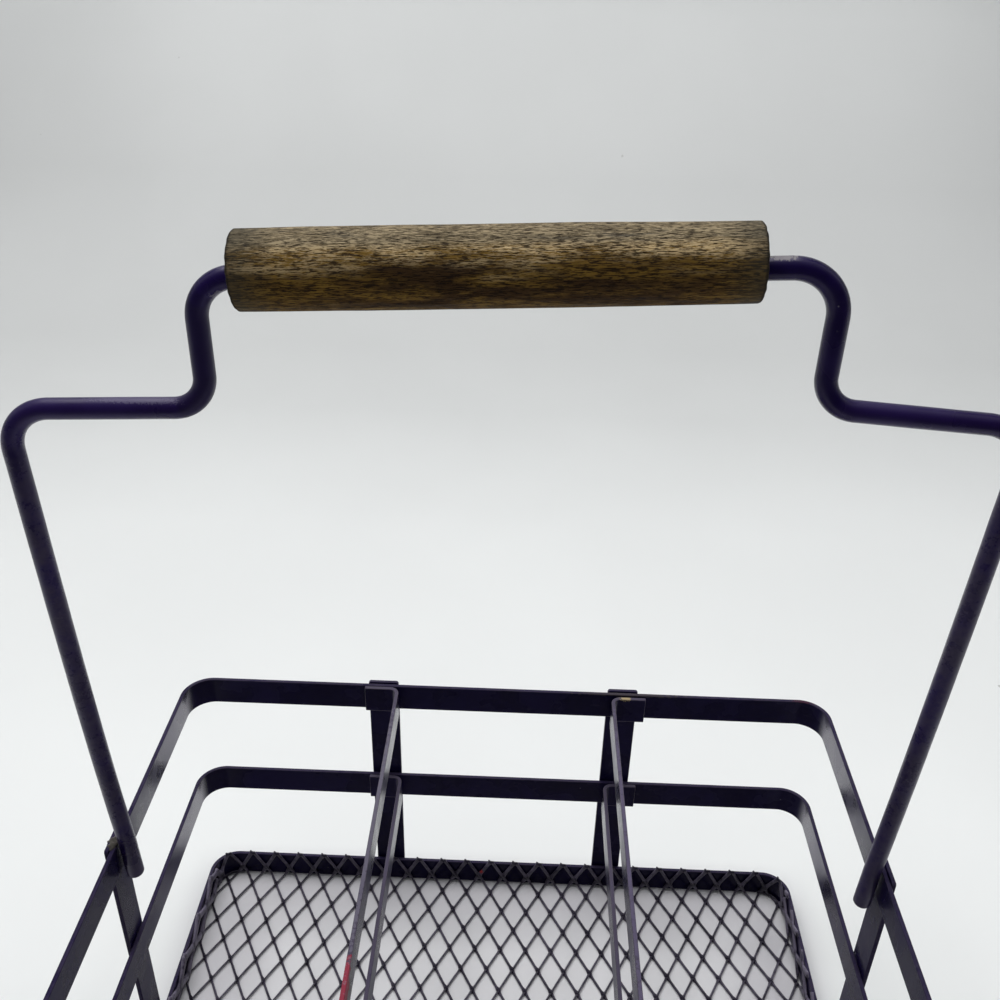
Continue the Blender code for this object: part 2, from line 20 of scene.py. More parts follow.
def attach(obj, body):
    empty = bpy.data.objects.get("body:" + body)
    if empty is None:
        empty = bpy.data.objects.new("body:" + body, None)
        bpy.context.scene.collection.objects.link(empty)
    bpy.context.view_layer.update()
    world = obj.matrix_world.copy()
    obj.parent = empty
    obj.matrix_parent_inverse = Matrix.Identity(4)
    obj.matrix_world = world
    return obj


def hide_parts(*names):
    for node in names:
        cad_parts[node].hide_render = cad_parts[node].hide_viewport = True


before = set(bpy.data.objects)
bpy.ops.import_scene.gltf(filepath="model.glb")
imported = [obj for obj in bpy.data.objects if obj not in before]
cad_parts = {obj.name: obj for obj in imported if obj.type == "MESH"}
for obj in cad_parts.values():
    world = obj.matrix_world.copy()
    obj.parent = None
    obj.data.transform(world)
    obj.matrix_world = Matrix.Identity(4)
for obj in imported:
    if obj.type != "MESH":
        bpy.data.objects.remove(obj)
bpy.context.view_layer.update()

Array = np.ndarray
Point = tuple[float, float, float]
Pair = tuple[float, float]
LOG = logging.getLogger("caddy")

UP = (0.0, 0.0, 1.0)
WELD_GAP = 0.0003
RING_INNER = (0.131, 0.0855)
GRIP_LINE_Z = 0.32117
GRIP_TILT = math.radians(2.7)


class Side(Enum):
    """The two sides of the caddy, with the sign of their X."""

    LEFT = -1
    RIGHT = 1

    @property
    def word(self) -> str:
        """The side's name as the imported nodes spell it."""
        return self.name.lower()


class Level(Enum):
    """The heights at which a ring is welded, with the ring's lower edge."""

    BASE = 0.0
    MIDDLE = 0.054
    TOP = 0.104


def both(left: float, right: float) -> Any:
    """Make a dataclass field that holds one size for each side."""
    return field(default_factory=lambda: {Side.LEFT: left, Side.RIGHT: right})


# Node work


class Value:
    """What a node puts out. Plain arithmetic on it lays Math nodes in its tree."""

    def __init__(self, socket: bpy.types.NodeSocket) -> None:
        """Take the output socket."""
        self.socket = socket

    def combine(self, operation: str, other: Any = 0.0, clamp: bool = False) -> "Value":
        """Lay a Math node on this value and another one."""
        sheet = NodeSheet(self.socket.id_data)
        return sheet.value("ShaderNodeMath", {0: self, 1: other}, operation=operation, use_clamp=clamp)

    __add__ = partialmethod(combine, "ADD")
    __sub__ = partialmethod(combine, "SUBTRACT")
    __mul__ = partialmethod(combine, "MULTIPLY")
    __truediv__ = partialmethod(combine, "DIVIDE")
    __abs__ = partialmethod(combine, "ABSOLUTE")


class NodeSheet:
    """Lays shader nodes in one tree and wires them together."""

    def __init__(self, tree: bpy.types.NodeTree) -> None:
        """Take the tree to lay nodes in."""
        self.tree = tree

    def feed(self, node: bpy.types.Node, inputs: dict[Any, Any]) -> None:
        """Set a node's inputs.

        Args:
            node: The node.
            inputs: Values of other nodes or fixed ones, by name or number of the input.
        """
        for key, value in inputs.items():
            if isinstance(value, Value):
                self.tree.links.new(value.socket, node.inputs[key])
            else:
                node.inputs[key].default_value = value

    def add(self, kind: str, inputs: dict[Any, Any] | None = None, **settings: Any) -> bpy.types.Node:
        """Add one node.

        Args:
            kind: Blender's name of the node type.
            inputs: Values by input name or number.
            **settings: Properties of the node.

        Returns:
            The new node.
        """
        node = self.tree.nodes.new(kind)
        for name, value in settings.items():
            setattr(node, name, value)
        self.feed(node, inputs or {})
        return node

    def value(self, kind: str, inputs: dict[Any, Any] | None = None, output: Any = 0,
              **settings: Any) -> Value:
        """Add one node and return one of its outputs, given by name or number."""
        return Value(self.add(kind, inputs, **settings).outputs[output])

    def group(self, name: str, **inputs: Any) -> dict[str, Value]:
        """Place a shared node group and return its outputs by name."""
        node = self.add("ShaderNodeGroup", inputs, node_tree=bpy.data.node_groups[name])
        return {socket.name: Value(socket) for socket in node.outputs}

    def split(self, place: Any) -> list[Value]:
        """Take a place apart into X, Y and Z."""
        return [Value(socket) for socket in self.add("ShaderNodeSeparateXYZ", {0: place}).outputs]

    def vector(self, operation: str, a: Any, b: Any = (0.0, 0.0, 0.0), output: Any = 0) -> Value:
        """Combine two places."""
        return self.value("ShaderNodeVectorMath", {0: a, 1: b}, output, operation=operation)

    def mix(self, factor: Any, a: Any, b: Any, blend: str = "MIX") -> Value:
        """Blend two colours, each a value or three numbers, by how much of the second one is used."""
        colours = {i: (*c, 1.0) if isinstance(c, tuple) else c for i, c in ((6, a), (7, b))}
        return self.value("ShaderNodeMix", {0: factor, **colours}, 2, data_type="RGBA", blend_type=blend)

    def spread(self, value: Any, low: float, high: float, start: float = 0.0, end: float = 1.0) -> Value:
        """Smoothly map a value from low and high to start and end, and no further."""
        inputs = {0: value, 1: low, 2: high, 3: start, 4: end}
        return self.value("ShaderNodeMapRange", inputs, interpolation_type="SMOOTHSTEP")

    def ramp(self, value: Any, stops: Sequence[tuple[float, Point]]) -> Value:
        """Map a value to a colour.

        Args:
            value: The value, 0 to 1.
            stops: A place from 0 to 1 and a colour each.

        Returns:
            The colour.
        """
        node = self.add("ShaderNodeValToRGB", {0: value})
        elements = node.color_ramp.elements
        for _ in stops[2:]:
            elements.new(0.5)
        for element, (place, colour) in zip(elements, stops):
            element.position = place
            element.color = (*colour, 1.0)
        return Value(node.outputs[0])

    def stretch(self, vector: Any, scale: Point, turn: Point = (0.0, 0.0, 0.0)) -> Value:
        """Scale and turn a place, so that a pattern gets its size along each axis."""
        return self.value("ShaderNodeMapping", {0: vector, 2: turn, 3: scale})

    def noise(self, vector: Any, scale: Any, detail: float = 2.0, rough: float = 0.5,
              wander: float = 0.0) -> Value:
        """Add fractal noise, about 0.3 to 0.7, by its cycles per metre, octaves, their fading and wander."""
        names = ("Vector", "Scale", "Detail", "Roughness", "Distortion")
        return self.value("ShaderNodeTexNoise", dict(zip(names, (vector, scale, detail, rough, wander))))

    def fibres(self, place: Any, along: float, across: float, detail: float, rough: float,
               wander: float = 0.0, turn: Point = (0.0, 0.0, 0.0)) -> Value:
        """Add noise drawn out along X, by its cycles per metre along X and across it."""
        return self.noise(self.stretch(place, (along, across, across), turn), 1.0, detail, rough, wander)


def new_group(name: str, inputs: dict[str, str],
              outputs: Sequence[str]) -> tuple[NodeSheet, dict[str, Value], bpy.types.Node]:
    """Start a shader node group.

    Args:
        name: The group's name.
        inputs: Socket types by input name.
        outputs: Names of its outputs, all single numbers.

    Returns:
        The sheet of its tree, its inputs by name, and its output node.
    """
    tree = bpy.data.node_groups.new(name, "ShaderNodeTree")
    for label, kind in inputs.items():
        tree.interface.new_socket(name=label, in_out="INPUT", socket_type=f"NodeSocket{kind}")
    for label in outputs:
        tree.interface.new_socket(name=label, in_out="OUTPUT", socket_type="NodeSocketFloat")
    sheet = NodeSheet(tree)
    source = sheet.add("NodeGroupInput")
    return sheet, {label: Value(source.outputs[label]) for label in inputs}, sheet.add("NodeGroupOutput")


def paint_skin_group() -> None:
    """Build the skin of sprayed paint.

    Height is a fine orange peel plus grit. Cloud is a slow change over centimetres. Flecks is 1 on
    tiny pale chips. Scuffs is 1 along short thin rub marks.
    """
    outputs = ("Height", "Cloud", "Flecks", "Scuffs")
    sheet, inner, outer = new_group("paint_skin", {"Place": "Vector"}, outputs)
    place = inner["Place"]
    grit = sheet.spread(sheet.noise(place, 2600.0, 1.0), 0.62, 0.72)
    chips = sheet.value("ShaderNodeTexVoronoi", {"Vector": place, "Scale": 260.0}, "Distance", feature="F1")
    rare = sheet.spread(sheet.noise(place, 70.0, 1.0), 0.62, 0.68)
    rubs = sheet.fibres(place, 160.0, 900.0, 3.0, 0.6, turn=(0.0, 0.35, 0.2))
    patchy = sheet.spread(sheet.noise(place, 28.0), 0.52, 0.66)
    sheet.feed(outer, {
        "Height": sheet.noise(place, 900.0, 2.0, 0.55) + grit * 0.6,
        "Cloud": sheet.noise(place, 45.0, 3.0, 0.6),
        "Flecks": sheet.spread(chips, 0.09, 0.05) * rare,
        "Scuffs": sheet.spread(rubs, 0.62, 0.70) * patchy,
    })


def edge_wear_group() -> None:
    """Build the wear of an edge: 1 where the edge mask is high and a broken noise lets it through."""
    inputs = {"Place": "Vector", "Edge": "Float", "Amount": "Float"}
    sheet, inner, outer = new_group("edge_wear", inputs, ("Mask",))
    broken = sheet.noise(inner["Place"], 260.0, 3.0, 0.7)
    slow = sheet.noise(inner["Place"], 60.0)
    open_edge = sheet.spread(broken * 0.6 + slow * 0.4 + inner["Amount"], 0.82, 1.16)
    sheet.feed(outer, {"Mask": open_edge.combine("MULTIPLY", inner["Edge"], clamp=True)})


def worn_patch_group() -> None:
    """Build one local patch of wear, stain, or painted light or shade: an ellipsoid round a place, its border
    broken up by noise.
    """
    inputs = {"Place": "Vector", "Centre": "Vector", "Reach": "Vector", "Grain": "Float"}
    sheet, inner, outer = new_group("worn_patch", inputs, ("Mask",))
    away = sheet.vector("SUBTRACT", inner["Place"], inner["Centre"])
    distance = sheet.vector("LENGTH", sheet.vector("DIVIDE", away, inner["Reach"]), output="Value")
    ragged = sheet.noise(inner["Place"], inner["Grain"], 3.0, 0.65)
    sheet.feed(outer, {"Mask": sheet.spread(distance + (ragged - 0.5) * 2.6, 1.0, 0.75)})


def new_material(name: str) -> tuple[bpy.types.Material, NodeSheet, bpy.types.Node, Value]:
    """Start a material.

    Args:
        name: Its name.

    Returns:
        The material, its sheet, its Principled node and the place on the piece.
    """
    material = bpy.data.materials.new(name)
    material.use_nodes = True
    sheet = NodeSheet(material.node_tree)
    place = sheet.value("ShaderNodeTexCoord", output="Object")
    return material, sheet, material.node_tree.nodes["Principled BSDF"], place


@dataclass(frozen=True)
class Patch:
    """A small place where the paint is worn or stained, or where light or shade is painted on it.

    Attributes:
        centre: Middle of the patch.
        reach: Half size along each axis.
        colour: Colour that shows there.
        strength: How far that colour takes over.
        grain: Cycles per metre of its ragged border.
    """

    centre: Point
    reach: Point
    colour: Point
    strength: float = 0.9
    grain: float = 700.0


@dataclass(frozen=True)
class PaintFinish:
    """The dark violet paint of the steel.

    Attributes:
        base: Colour of a sound coat.
        thin: Colour where the coat is thin, along edges.
        bare: Colour of chips and rubs.
        deep_share: Share of the base colour where the coat is thickest.
        roughness: Roughness of a sound coat.
        gloss: Specular level where the coat faces the eye.
        edge_gloss: Specular level where it is seen at a flat angle.
        turn: How far a face is turned away where the level starts and where it ends to rise.
        front: Share of the level that is left at the dusty front of the caddy.
        dusty: Y where the dusty front ends and where the level is whole again.
        tint: Colour of the mirrored light.
        wear: How much of the edges is worn.
        peel: Strength of the orange peel.
    """

    base: Point = (0.0080, 0.0050, 0.0390)
    thin: Point = (0.050, 0.041, 0.070)
    bare: Point = (0.20, 0.19, 0.22)
    deep_share: float = 0.62
    roughness: float = 0.26
    gloss: float = 0.08
    edge_gloss: float = 1.55
    turn: Pair = (0.38, 0.72)
    front: float = 0.09
    dusty: Pair = (-0.005, 0.065)
    tint: Point = (0.92, 0.86, 1.0)
    wear: float = 0.60
    peel: float = 0.22

    def material(self, name: str, patches: Sequence[Patch] = ()) -> bpy.types.Material:
        """Build the paint for one piece.

        Args:
            name: Name of the material.
            patches: Places of this piece where the paint is worn or stained, or where light or shade is
                painted.

        Returns:
            The material.
        """
        material, sheet, shader, place = new_material(name)
        skin = sheet.group("paint_skin", Place=place)
        edge = sheet.value("ShaderNodeAttribute", output="Fac", attribute_name="edge")
        wear = sheet.group("edge_wear", Place=place, Edge=edge, Amount=self.wear)["Mask"]
        cloud = skin["Cloud"]
        deep = tuple(c * self.deep_share for c in self.base)
        colour = sheet.mix(sheet.spread(cloud, 0.38, 0.62), deep, self.base)
        colour = sheet.mix(wear * 0.70, colour, self.thin)
        marks = (skin["Flecks"] * 0.55).combine("ADD", skin["Scuffs"] * 0.07, clamp=True)
        colour = sheet.mix(marks, colour, self.bare)
        rough = sheet.spread(cloud, 0.3, 0.7, self.roughness - 0.05, self.roughness + 0.09) + wear * 0.2
        # Patches paint wear and stains, and on the wire also painted light and shade.
        for patch in patches:
            spot = sheet.group("worn_patch", Place=place, Centre=patch.centre, Reach=patch.reach,
                               Grain=patch.grain)
            mask = spot["Mask"] * patch.strength
            colour = sheet.mix(mask, colour, patch.colour)
            rough = rough + mask * 0.25
        relief = {"Strength": self.peel, "Distance": 0.00012, "Height": skin["Height"]}
        facing = sheet.value("ShaderNodeLayerWeight", {"Blend": 0.5}, "Facing")
        level = sheet.spread(facing, *self.turn, self.gloss, self.edge_gloss)
        kept = sheet.spread(sheet.split(place)[1], *self.dusty, self.front, 1.0)
        sheet.feed(shader, {
            "Base Color": colour,
            "Roughness": rough,
            "Normal": sheet.value("ShaderNodeBump", relief),
            "Specular IOR Level": level * kept,
            "Specular Tint": (*self.tint, 1.0),
        })
        return material


@dataclass(frozen=True)
class WoodFinish:
    """The dark stained, dry wood of the grip.

    Attributes:
        dark: Colour of the stained streaks.
        brown: Colour of the plain wood.
        tan: Colour of the patches where the stain is thin.
        grey: Colour of the pale fibres on the weathered top.
        ridge: Colour along the very top.
        pore: Colour inside the pores.
        end: Colour towards both ends.
        tip: Colour of the end's edge.
        roughness: Roughness of the dry surface.
        specular: Specular level of the dry surface.
    """

    dark: Point = (0.050, 0.026, 0.0100)
    brown: Point = (0.172, 0.097, 0.0205)
    tan: Point = (0.205, 0.118, 0.0225)
    grey: Point = (0.62, 0.460, 0.248)
    ridge: Point = (0.17, 0.16, 0.125)
    pore: Point = (0.013, 0.007, 0.005)
    end: Point = (0.050, 0.047, 0.037)
    tip: Point = (0.014, 0.012, 0.012)
    roughness: float = 0.62
    specular: float = 0.06

    def material(self, name: str, centre: Point, tilt: float, half_length: float) -> bpy.types.Material:
        """Build the wood for a dowel.

        Args:
            name: Name of the material.
            centre: Middle of the dowel.
            tilt: Slope of the dowel's axis in radians.
            half_length: Half of the dowel's length.

        Returns:
            The material.
        """
        material, sheet, shader, place = new_material(name)
        lengthwise = sheet.stretch(sheet.vector("SUBTRACT", place, centre), (1.0, 1.0, 1.0), (0.0, tilt, 0.0))
        along, _, up = sheet.split(lengthwise)
        figure = sheet.fibres(lengthwise, 34.0, 190.0, 3.0, 0.55, 0.5)
        golden = sheet.fibres(lengthwise, 60.0, 330.0, 2.0, 0.5)
        streak = sheet.fibres(lengthwise, 170.0, 2000.0, 3.0, 0.6, 0.3)
        flecks = sheet.fibres(lengthwise, 560.0, 3200.0, 3.0, 0.7, turn=(0.0, 0.02, 0.02))
        dashes = sheet.fibres(lengthwise, 420.0, 3600.0, 2.0, 0.6, turn=(0.0, -0.02, 0.0))
        left = sheet.spread(along, -0.026, -0.050)
        band = sheet.spread(up, 0.0000, 0.0022) * sheet.spread(figure, 0.36, 0.52)
        pale = (left * 0.8).combine("MAXIMUM", band.combine("MAXIMUM", sheet.spread(golden, 0.52, 0.66)))
        weathered = sheet.spread(up + (golden - 0.5) * 0.012, 0.0022, 0.0100)
        broad = flecks * 0.62 + streak * 0.38 + (golden - 0.5) * 0.35
        pores = sheet.spread(dashes, 0.515, 0.59)
        end = sheet.spread(abs(along), half_length - 0.0130, half_length - 0.0002)
        tip = sheet.spread(abs(along), half_length - 0.0011, half_length - 0.0003)
        colour = sheet.mix(sheet.spread(figure, 0.40, 0.62), self.dark, self.brown)
        layers = (
            (pale * 0.8, self.tan),
            (sheet.spread(streak, 0.44, 0.64, 0.0, 0.8), self.dark),
            (weathered * sheet.spread(broad, 0.42, 0.58, 0.02, 1.0), self.grey),
            (sheet.spread(up, 0.0078, 0.0100, 0.0, 0.55), self.ridge),
            (pores * 0.84, self.pore),
            (end * 0.60, self.end),
            (tip * 0.75, self.tip),
        )
        for mask, layer in layers:
            colour = sheet.mix(mask, colour, layer)
        relief = {"Strength": 0.8, "Distance": 0.0004, "Height": flecks * 0.8 - pores + streak * 0.5}
        sheet.feed(shader, {
            "Base Color": colour,
            "Roughness": sheet.spread(streak, 0.3, 0.7, self.roughness - 0.08, self.roughness + 0.14),
            "Normal": sheet.value("ShaderNodeBump", relief),
            "Specular IOR Level": self.specular,
        })
        return material


# Surfaces


def circle(count: int) -> tuple[Array, Array]:
    """List angles round a circle, and the points of a unit circle there."""
    angles = np.linspace(0.0, 2 * np.pi, count + 1)[:-1]
    return angles, np.stack([np.cos(angles), np.sin(angles)], axis=1)


def drawn_in(from_end: Array, radius: float) -> Array:
    """Share of r by which an end is drawn in at d: one minus the sine whose cosine is one minus d over r."""
    return 1.0 - np.sqrt(1.0 - np.clip(1.0 - from_end / radius, 0.0, 1.0) ** 2)


def grid_faces(rows: int, columns: int, ring: bool = False) -> Array:
    """Number the quads of a tube.

    Args:
        rows: Sections of the tube.
        columns: Points of each section.
        ring: Whether the last section joins the first one.

    Returns:
        Quads as rows of four point numbers.
    """
    i = np.arange(rows if ring else rows - 1)[:, None] * columns
    j = np.arange(columns)[None, :]
    after_i, after_j = (i + columns) % (rows * columns), (j + 1) % columns
    return np.stack([i + j, after_i + j, after_i + after_j, i + after_j], axis=-1).reshape(-1, 4)


def show(mesh: bpy.types.Mesh, material: bpy.types.Material) -> bpy.types.Object:
    """Put a mesh in the scene as a smooth-shaded object at the origin.

    Args:
        mesh: The mesh.
        material: Its finish.

    Returns:
        The object.
    """
    mesh.polygons.foreach_set("use_smooth", np.ones(len(mesh.polygons), dtype=bool))
    mesh.materials.append(material)
    shown = bpy.data.objects.new(mesh.name, mesh)
    bpy.context.scene.collection.objects.link(shown)
    return shown


def make_piece(name: str, bundles: Sequence[Array], material: bpy.types.Material, edge: Array | None = None,
               ring: bool = False) -> bpy.types.Object:
    """Put tubes into one smooth-shaded object whose faces point outwards.

    Args:
        name: Name of the piece.
        bundles: Tubes of one size each, as n by sections by points of a section by 3.
        material: Its finish.
        edge: How much each point lies on an edge, 0 to 1.
        ring: Whether the tubes close on themselves. Otherwise a face closes each end.

    Returns:
        The new object, at the origin.
    """
    points, quads, caps, offset = [], [], [], 0
    for bundle in bundles:
        count, rows, columns = bundle.shape[:3]
        starts = offset + np.arange(count)[:, None] * rows * columns
        quads.append((starts[..., None] + grid_faces(rows, columns, ring)).reshape(-1, 4))
        if not ring:
            section = np.arange(columns)
            caps += [*(starts + section), *(starts + (rows - 1) * columns + section[::-1])]
        points.append(bundle.reshape(-1, 3))
        offset += count * rows * columns
    points, quads = np.vstack(points), np.vstack(quads)
    mesh = bpy.data.meshes.new(name)
    mesh.from_pydata(points.tolist(), [], quads.tolist() + [cap.tolist() for cap in caps])
    a, b, c, d = points[quads.T]
    if np.einsum("ij,ij->i", a, np.cross(b, c) + np.cross(c, d)).sum() < 0.0:
        mesh.flip_normals()
    if edge is not None:
        layer = mesh.attributes.new("edge", "FLOAT", "POINT")
        layer.data.foreach_set("value", np.asarray(edge, dtype=np.float32).ravel())
    return show(mesh, material)


def placed(piece: bpy.types.Object, body: str, node: str | None = None) -> bpy.types.Object:
    """Let a piece ride on a body and, unless it is an extra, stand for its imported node.

    Args:
        piece: The piece.
        body: Name of the body.
        node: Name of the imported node.

    Returns:
        The piece.
    """
    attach(piece, body)
    if node:
        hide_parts(node)
    return piece


def sweep(centres: Array, across: Any, upward: Any, sections: Array) -> Array:
    """Carry a closed section along a path.

    A point is the path's centre plus the section's first number along the across direction plus its
    second along the upward direction.

    Args:
        centres: Path points, n rows.
        across: First direction, one for all of them or one each.
        upward: Second direction.
        sections: One section of k rows, or n of them.

    Returns:
        Points, n by k by 3.
    """
    across, upward = (np.broadcast_to(v, centres.shape)[:, None] for v in (across, upward))
    sections = np.broadcast_to(sections, (len(centres), *sections.shape[-2:]))
    return centres[:, None] + across * sections[..., :1] + upward * sections[..., 1:]


def strap_section(thickness: float, height: float, rounding: float,
                  inset: float = 0.0) -> tuple[Array, Array]:
    """Work out the section of a rolled strap.

    It is a rectangle with round edges, with two more points near each edge on every flat, which keep
    the flats shaded flat. The narrow flats count as edges nearly as much as the round parts.

    Args:
        thickness: Across the strap.
        height: Along its face.
        rounding: Radius of its edges.
        inset: How far the whole section is drawn in.

    Returns:
        Points of the section, anticlockwise, and how much each lies on an edge.
    """
    steps, narrow_share = 3, 0.85
    points, edges = [], []
    half = np.array([thickness / 2 - rounding, height / 2 - rounding])
    support = 0.6 * rounding
    signs = np.array([(1, 1), (-1, 1), (-1, -1), (1, -1)])
    ways = np.array([(-1, 0), (0, -1), (1, 0), (0, 1)])
    for turn in range(4):
        angles = np.pi / 2 * (turn + np.arange(steps + 1) / steps)
        arc = signs[turn] * half + (rounding - inset) * np.stack([np.cos(angles), np.sin(angles)], axis=1)
        before = arc[:1] - ways[turn - 1] * min(support, half[(turn + 1) % 2])
        after = arc[-1:] + ways[turn] * min(support, half[turn % 2])
        points.append(np.vstack([before, arc, after]))
        narrow = narrow_share if turn % 2 else 0.0
        edges.append(np.array([narrow, *np.ones(steps + 1), narrow_share - narrow]))
    return np.vstack(points), np.concatenate(edges)


def round_corners(corners: Sequence[Pair], radii: Sequence[float], steps: int) -> Array:
    """Round the inner corners of an open path, each by an arc of its own radius that both legs touch.

    Args:
        corners: Points of the path.
        radii: Radius at each inner point.
        steps: Parts of each arc.

    Returns:
        Points of the rounded path.
    """
    points = np.array(corners, dtype=float)
    parts = [points[:1]]
    for before, corner, after, radius in zip(points, points[1:], points[2:], radii):
        inward = (before - corner) / np.linalg.norm(before - corner)
        outward = (after - corner) / np.linalg.norm(after - corner)
        half = math.acos(np.clip(inward @ outward, -1.0, 1.0)) / 2
        middle = (inward + outward) / np.linalg.norm(inward + outward)
        centre = corner + middle * radius / math.sin(half)
        x, y = corner + inward * radius / math.tan(half) - centre
        turn = -1.0 if inward[0] * outward[1] - inward[1] * outward[0] > 0.0 else 1.0
        angles = turn * np.linspace(0.0, math.pi - 2 * half, steps + 1)
        cosine, sine = np.cos(angles), np.sin(angles)
        parts.append(centre + np.stack([x * cosine - y * sine, x * sine + y * cosine], axis=1))
    return np.vstack([*parts, points[-1:]])


def with_stations(path: Array, spacing: float, ends: Array) -> tuple[Array, Array, Array]:
    """Add points along the straight parts of a path, and close together at its two ends.

    Args:
        path: Points of the path.
        spacing: Greatest distance between points.
        ends: Distances from an end at which it needs points.

    Returns:
        Points, their unit tangents, and their distances along the path.
    """
    steps = np.linalg.norm(np.diff(path, axis=0), axis=1)
    path = path[np.concatenate([[True], steps > 1e-7])]
    run = np.concatenate([[0.0], np.cumsum(np.linalg.norm(np.diff(path, axis=0), axis=1))])
    regular = np.linspace(0.0, run[-1], max(2, int(run[-1] / spacing)))
    all_runs = np.sort(np.concatenate([run, regular, ends, run[-1] - ends]))
    all_runs = all_runs[np.concatenate([[True], np.diff(all_runs) > 2e-5])]
    points = np.stack([np.interp(all_runs, run, axis) for axis in path.T], axis=1)
    tangents = np.gradient(points, all_runs, axis=0)
    return points, tangents / np.linalg.norm(tangents, axis=1, keepdims=True), all_runs


def end_distances(run: Array) -> Array:
    """Give the distance to the nearer end of a path for distances along it."""
    return np.minimum(run, run[-1] - run)


def end_stations(radius: float, count: int, first: float = 0.0) -> Array:
    """List distances from an end at which its rounding needs a section."""
    return radius * (1.0 - np.cos(np.linspace(first, np.pi / 2, count)))


def ripple(run: Array, seed: int, wavelength: float, height: float) -> Array:
    """Add up five sines of near wavelengths and seeded phases, for a hand-made wave along a path.

    Args:
        run: Distances along the path.
        seed: Seed of the wavelengths and phases.
        wavelength: The size they are near to.
        height: Twice the height of one sine.

    Returns:
        The offset at each distance.
    """
    maker = np.random.default_rng(seed)
    waves = wavelength * maker.uniform(0.6, 1.6, 5)
    phases = maker.uniform(0.0, 2 * np.pi, 5)
    return height / 2 * np.sin(2 * np.pi * run[:, None] / waves + phases).sum(axis=1)


# Pieces


@dataclass
class Strap:
    """A flat steel strap: its section and how its edges are rounded."""

    height: float = 0.012
    thickness: float = 0.0015
    rounding: float = 0.00028
    end_count: int = 4

    def end_sections(self, run: Array, width: float) -> tuple[Array, Array]:
        """Work out the section at every station, drawn in at both ends so that they are rounded.

        Args:
            run: Distances along the strap.
            width: Second size of the section.

        Returns:
            Sections, n by k by 2, and the edge mask, n by k.
        """
        full, edges = strap_section(self.thickness, width, self.rounding)
        drawn, _ = strap_section(self.thickness, width, self.rounding, self.rounding)
        from_end = end_distances(run)
        mask = np.maximum(edges[None], (from_end < 0.5 * self.rounding)[:, None])
        return full + (drawn - full) * drawn_in(from_end, self.rounding)[:, None, None], mask

    @property
    def stations(self) -> Array:
        """Distances from an end at which its rounding needs a section."""
        return end_stations(self.rounding, self.end_count)


